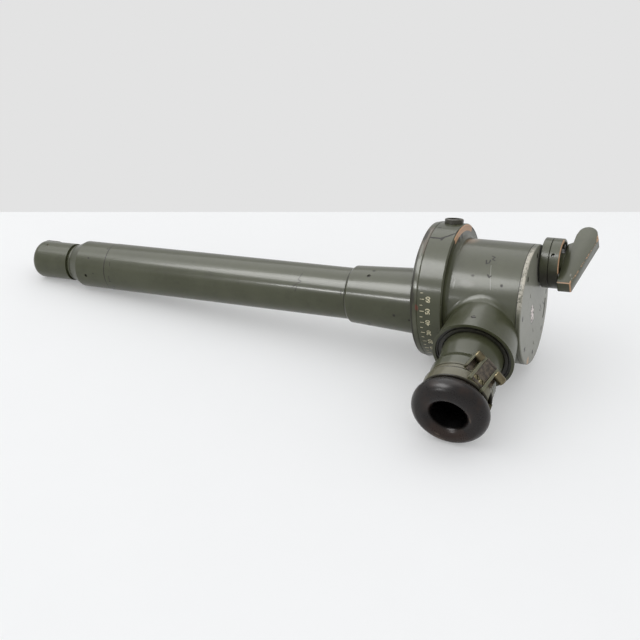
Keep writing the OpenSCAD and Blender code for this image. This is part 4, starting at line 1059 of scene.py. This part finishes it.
def table():
    turn = Matrix.Rotation(math.radians(CAMERA_HEADING), 4, "Z")
    bm = bmesh.new()
    right, left = TABLE_SIDE, -TABLE_SIDE
    corners = [(right, TABLE_FAR), (left, TABLE_FAR), (left, TABLE_NEAR), (right, TABLE_NEAR)]
    bm.faces.new([bm.verts.new((x, y, 0)) for x, y in corners])
    where = Matrix.Translation((CAMERA_PLACE.x, CAMERA_PLACE.y, 0)) @ turn
    bmesh.ops.transform(bm, matrix=where, verts=bm.verts)
    mesh = bpy.data.meshes.new("table")
    bm.to_mesh(mesh)
    bm.free()
    obj = bpy.data.objects.new("table", mesh)
    f = Finish("table_white")
    grain = f.noise(f.place(), 60, 3)
    white = f.mix(grain, srgb(239, 239, 239), srgb(242, 242, 242))
    mesh.materials.append(f.finish(Base_Color=white, Roughness=0.8, Specular_IOR_Level=0.1))
    # A share of plain white, for what the camera, metal and glass see, which lightens the shadow
    glow = f.tree.nodes.new("ShaderNodeEmission")
    glow.inputs["Color"].default_value = (0.985, 0.985, 0.985, 1)
    blend = f.tree.nodes.new("ShaderNodeMixShader")
    feed(f.tree, blend.inputs[0], seen_directly(f.tree) * WHITE_SHARE)
    f.tree.links.new(f.shader.outputs[0], blend.inputs[1])
    f.tree.links.new(glow.outputs[0], blend.inputs[2])
    f.tree.links.new(blend.outputs[0], f.tree.nodes["Material Output"].inputs["Surface"])
    bpy.context.scene.collection.objects.link(obj)


table()


def studio():
    """Even light, with a plain wall for what the camera, metal and glass see."""
    world = bpy.data.worlds.new("studio")
    bpy.context.scene.world = world
    world.use_nodes = True
    tree = world.node_tree
    tree.nodes.clear()
    light = tree.nodes.new("ShaderNodeBackground")
    light.inputs[0].default_value = (0.97, 0.985, 1, 1)
    light.inputs[1].default_value = 0.9
    wall = tree.nodes.new("ShaderNodeBackground")
    wall.inputs[0].default_value = (*srgb(227, 227, 227), 1)
    blend = tree.nodes.new("ShaderNodeMixShader")
    out = tree.nodes.new("ShaderNodeOutputWorld")
    feed(tree, blend.inputs[0], seen_directly(tree))
    tree.links.new(light.outputs[0], blend.inputs[1])
    tree.links.new(wall.outputs[0], blend.inputs[2])
    tree.links.new(blend.outputs[0], out.inputs[0])


studio()


LAMP_TARGET = Vector((0.05, 0, 0.04))


def softbox(name, heading, height, distance, size, power, gloss_only=False):
    """A lamp at a heading from +X and a height in degrees; a gloss-only one shows in reflections alone."""
    light = bpy.data.lights.new(name, "AREA")
    light.shape = "RECTANGLE"
    light.size, light.size_y = size
    light.energy = power
    turn, rise = math.radians(heading), math.radians(height)
    away = Vector((math.cos(turn) * math.cos(rise), math.sin(turn) * math.cos(rise), math.sin(rise)))
    obj = bpy.data.objects.new(name, light)
    obj.location = LAMP_TARGET + away * distance
    obj.rotation_euler = away.to_track_quat("Z", "Y").to_euler()
    obj.visible_diffuse = not gloss_only
    bpy.context.scene.collection.objects.link(obj)


softbox("front_window", -138, 49, 1.6, (1.5, 0.5), 2.6)
softbox("overhead", 130, 72, 1.7, (2.4, 2.2), 3)
softbox("window_card", -133, 53, 1.6, (0.9, 0.7), 20, gloss_only=True)
softbox("strip_card", -115.5, 22, 1.6, (0.36, 0.08), 5, gloss_only=True)
softbox("ceiling_card", 150, 66, 1.7, (2.6, 2), 31, gloss_only=True)

bpy.context.scene.view_settings.view_transform = "Standard"
